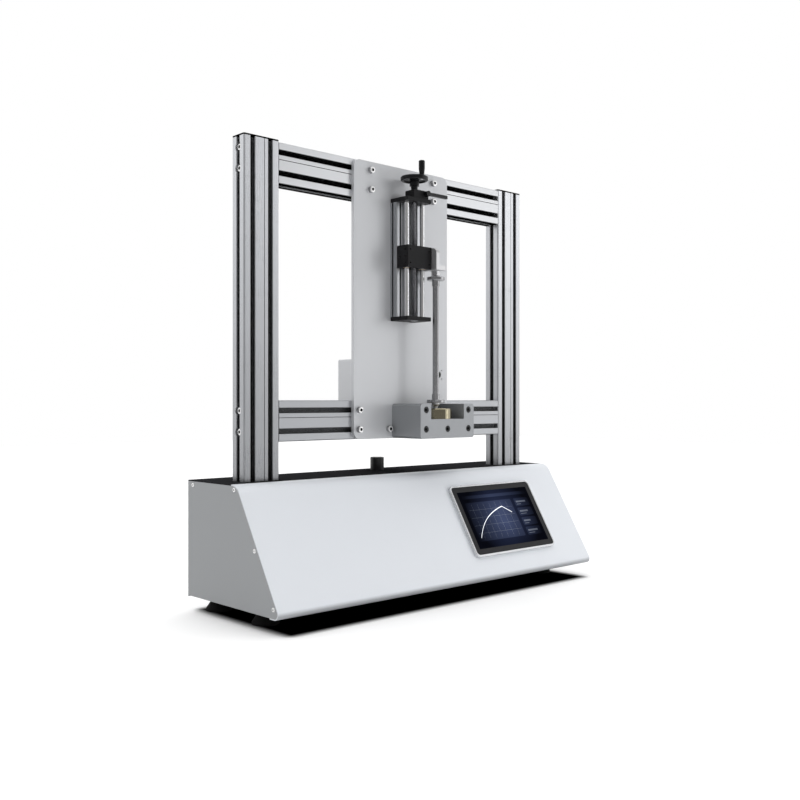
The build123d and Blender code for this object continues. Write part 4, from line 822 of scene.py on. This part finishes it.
def rocker_marks():
    """A bar and a ring printed on the two halves of the power switch."""
    halves = {}
    for polygon in nodes["switch_rocker"].data.polygons:
        if polygon.normal.y > REAR_FACING:
            halves.setdefault(round(polygon.normal.z, 2), []).append(polygon)
    largest = sorted(halves.values(), key=lambda half: sum(polygon.area for polygon in half))[-2:]
    largest.sort(key=lambda half: half[0].center.z)
    points = []
    faces = []
    for half, is_ring in zip(largest, (True, False)):
        area = sum(polygon.area for polygon in half)
        centre = sum((polygon.center * polygon.area for polygon in half), Vector()) / area
        normal = half[0].normal
        centre = centre + normal * MARK_LIFT
        across = Vector((-1, 0, 0))
        up = normal.cross(across)
        start = len(points)
        if is_ring:
            for radius in (MARK_HEIGHT / 2, MARK_HEIGHT / 2 - MARK_STROKE):
                ring = circle_ring(radius, 0, MARK_SIDES)
                points.extend(centre + across * x + up * y for x, y, z in ring)
            for i in range(MARK_SIDES):
                j = (i + 1) % MARK_SIDES
                inner = start + MARK_SIDES
                faces.append((start + i, start + j, inner + j, inner + i))
        else:
            for x, y in ((-1, -1), (1, -1), (1, 1), (-1, 1)):
                points.append(centre + across * (x * MARK_STROKE / 2) + up * (y * MARK_HEIGHT / 2))
            faces.append(tuple(range(start, start + 4)))
    new_piece("rocker_marks", points, faces, ROCKER_BODY, "box_paint", white_print)


rocker_marks()

# Floor, light and camera
FLOOR_SIDE = 14.0
FLOOR_LIFT = 0.10
# Painted shadow beneath the base: its inset within the base's outline and the width of its fade
SHADE_INSET = Vector((34 * MM, 8 * MM, 0))
SHADE_FADE = 30 * MM
# Painted shade on the far floor: where it starts and ends, and its share on the side away from the wall
FAR_START = 2.2
FAR_END = 6.6
FAR_PAINTED_SHADE = 0.29

# Studio surround: a white wall behind the machine that fades to a dimmer room in front of it
ROOM_LIGHT = 0.30
WALL_LIGHT = 1.0
WALL_SIDE = (0.35, 0.94, 0.0)
WALL_FADE = (-0.2, 0.3)


def towards_wall(tree, direction, dim, bright):
    """A value between dim and bright that follows how far a direction turns towards the white wall."""
    facing = add_node(tree, "ShaderNodeVectorMath", {1: WALL_SIDE}, operation="DOT_PRODUCT")
    share = add_node(
        tree,
        "ShaderNodeMapRange",
        {"From Min": WALL_FADE[0], "From Max": WALL_FADE[1], "To Min": dim, "To Max": bright},
    )
    tree.links.new(direction, facing.inputs[0])
    tree.links.new(facing.outputs["Value"], share.inputs["Value"])
    return share.outputs["Result"]


def floor_look():
    """A pale floor with a painted shadow beneath the base. Far off it is painted dimmer as shade, so that it
    takes the tone of the wall where it meets it.
    """
    made = surface(
        "floor_pale", (0.98, 0.98, 0.98), 0.6, tone=0.01, grain=(30, 30, 30), bump=0.0, specular=0.0
    )
    tree = made.node_tree
    shader = tree.nodes["Principled BSDF"]
    base = [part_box(name) for name in ("front_cover", "rear_panel", "left_side_panel", "right_side_panel")]
    low, high = span([corner for box in base for corner in box])
    middle = (low + high) / 2
    half = (high - low) / 2 - SHADE_INSET
    # Painted shadow: black inside the base's outline, fading out beyond it
    place = add_node(tree, "ShaderNodeTexCoord")
    shift = add_node(tree, "ShaderNodeVectorMath", {1: (middle.x, middle.y, 0)}, operation="SUBTRACT")
    fold = add_node(tree, "ShaderNodeVectorMath", operation="ABSOLUTE")
    past = add_node(tree, "ShaderNodeVectorMath", {1: (half.x, half.y, 0)}, operation="SUBTRACT")
    outside = add_node(tree, "ShaderNodeVectorMath", {1: (0, 0, 0)}, operation="MAXIMUM")
    away = add_node(tree, "ShaderNodeVectorMath", operation="LENGTH")
    pale = add_node(
        tree,
        "ShaderNodeMapRange",
        {"From Min": 0.0, "From Max": SHADE_FADE, "To Min": 0.0, "To Max": 1.0},
        interpolation_type="SMOOTHSTEP",
    )
    chain = [place.outputs["Object"]]
    for step in (shift, fold, past, outside):
        tree.links.new(chain[-1], step.inputs[0])
        chain.append(step.outputs["Vector"])
    tree.links.new(chain[-1], away.inputs[0])
    tree.links.new(away.outputs["Value"], pale.inputs["Value"])
    tint = scaled(tree, shader.inputs["Base Color"].links[0].from_socket, pale.outputs["Result"])
    # Painted shade: the far floor dimmed to the tone of the surround in each direction
    direction = add_node(tree, "ShaderNodeVectorMath", operation="NORMALIZE")
    distance = add_node(tree, "ShaderNodeVectorMath", operation="LENGTH")
    far = add_node(
        tree,
        "ShaderNodeMapRange",
        {"From Min": FAR_START, "From Max": FAR_END, "To Min": 1.0},
        interpolation_type="SMOOTHSTEP",
    )
    tree.links.new(place.outputs["Object"], direction.inputs[0])
    tree.links.new(place.outputs["Object"], distance.inputs[0])
    tree.links.new(distance.outputs["Value"], far.inputs["Value"])
    tree.links.new(towards_wall(tree, direction.outputs["Vector"], FAR_PAINTED_SHADE, 1.0), far.inputs["To Max"])
    tint = scaled(tree, tint, far.outputs["Result"])
    tree.links.new(tint, shader.inputs["Base Color"])
    tree.links.new(tint, shader.inputs["Emission Color"])
    shader.inputs["Emission Strength"].default_value = FLOOR_LIFT
    return made


floor_mesh = bpy.data.meshes.new("floor")
corner = FLOOR_SIDE / 2
floor_mesh.from_pydata(
    [(x, y, 0) for x, y in box_outline(-corner, -corner, corner, corner)], [], [(0, 1, 2, 3)]
)
floor = bpy.data.objects.new("floor", floor_mesh)
scene.collection.objects.link(floor)
floor_mesh.materials.append(floor_look())

world = bpy.data.worlds.new("studio")
world.use_nodes = True
sky = world.node_tree
way = add_node(sky, "ShaderNodeTexCoord")
wall = towards_wall(sky, way.outputs["Generated"], ROOM_LIGHT, WALL_LIGHT)
sky.links.new(wall, sky.nodes["Background"].inputs["Strength"])
sky.nodes["Background"].inputs["Color"].default_value = (1.0, 1.0, 1.0, 1.0)
scene.world = world


def area_light(name, place, target, width, height, power):
    """A soft light that points at a target."""
    data = bpy.data.lights.new(name, "AREA")
    data.shape = "RECTANGLE"
    data.size = width
    data.size_y = height
    data.energy = power
    made = bpy.data.objects.new(name, data)
    made.location = place
    made.rotation_mode = "QUATERNION"
    made.rotation_quaternion = (Vector(target) - Vector(place)).to_track_quat("-Z", "Y")
    scene.collection.objects.link(made)


LIGHT_TARGET = (0.0, 0.0, 0.5)
area_light("key", (2.6, -2.2, 1.3), LIGHT_TARGET, 2.8, 2.4, 19.0)
area_light("strip", (2.3, -2.3, 0.8), LIGHT_TARGET, 0.15, 1.6, 3.0)

# Overhead light, even over the whole floor
OVERHEAD_LIGHT = 1.5
OVERHEAD_SPREAD = 80
overhead_data = bpy.data.lights.new("overhead", "SUN")
overhead_data.energy = OVERHEAD_LIGHT
overhead_data.angle = math.radians(OVERHEAD_SPREAD)
overhead = bpy.data.objects.new("overhead", overhead_data)
overhead.location = (0.0, 0.0, 4.0)
scene.collection.objects.link(overhead)

camera_data = bpy.data.cameras.new("camera")
camera_data.sensor_width = CAMERA_SENSOR
camera_data.lens = CAMERA_LENS
camera_data.shift_y = CAMERA_SHIFT
camera = bpy.data.objects.new("camera", camera_data)
camera.location = CAMERA_PLACE
camera.rotation_mode = "QUATERNION"
camera.rotation_quaternion = Vector(CAMERA_VIEW).to_track_quat("-Z", "Y")
scene.collection.objects.link(camera)
scene.camera = camera
scene.view_settings.view_transform = "Standard"
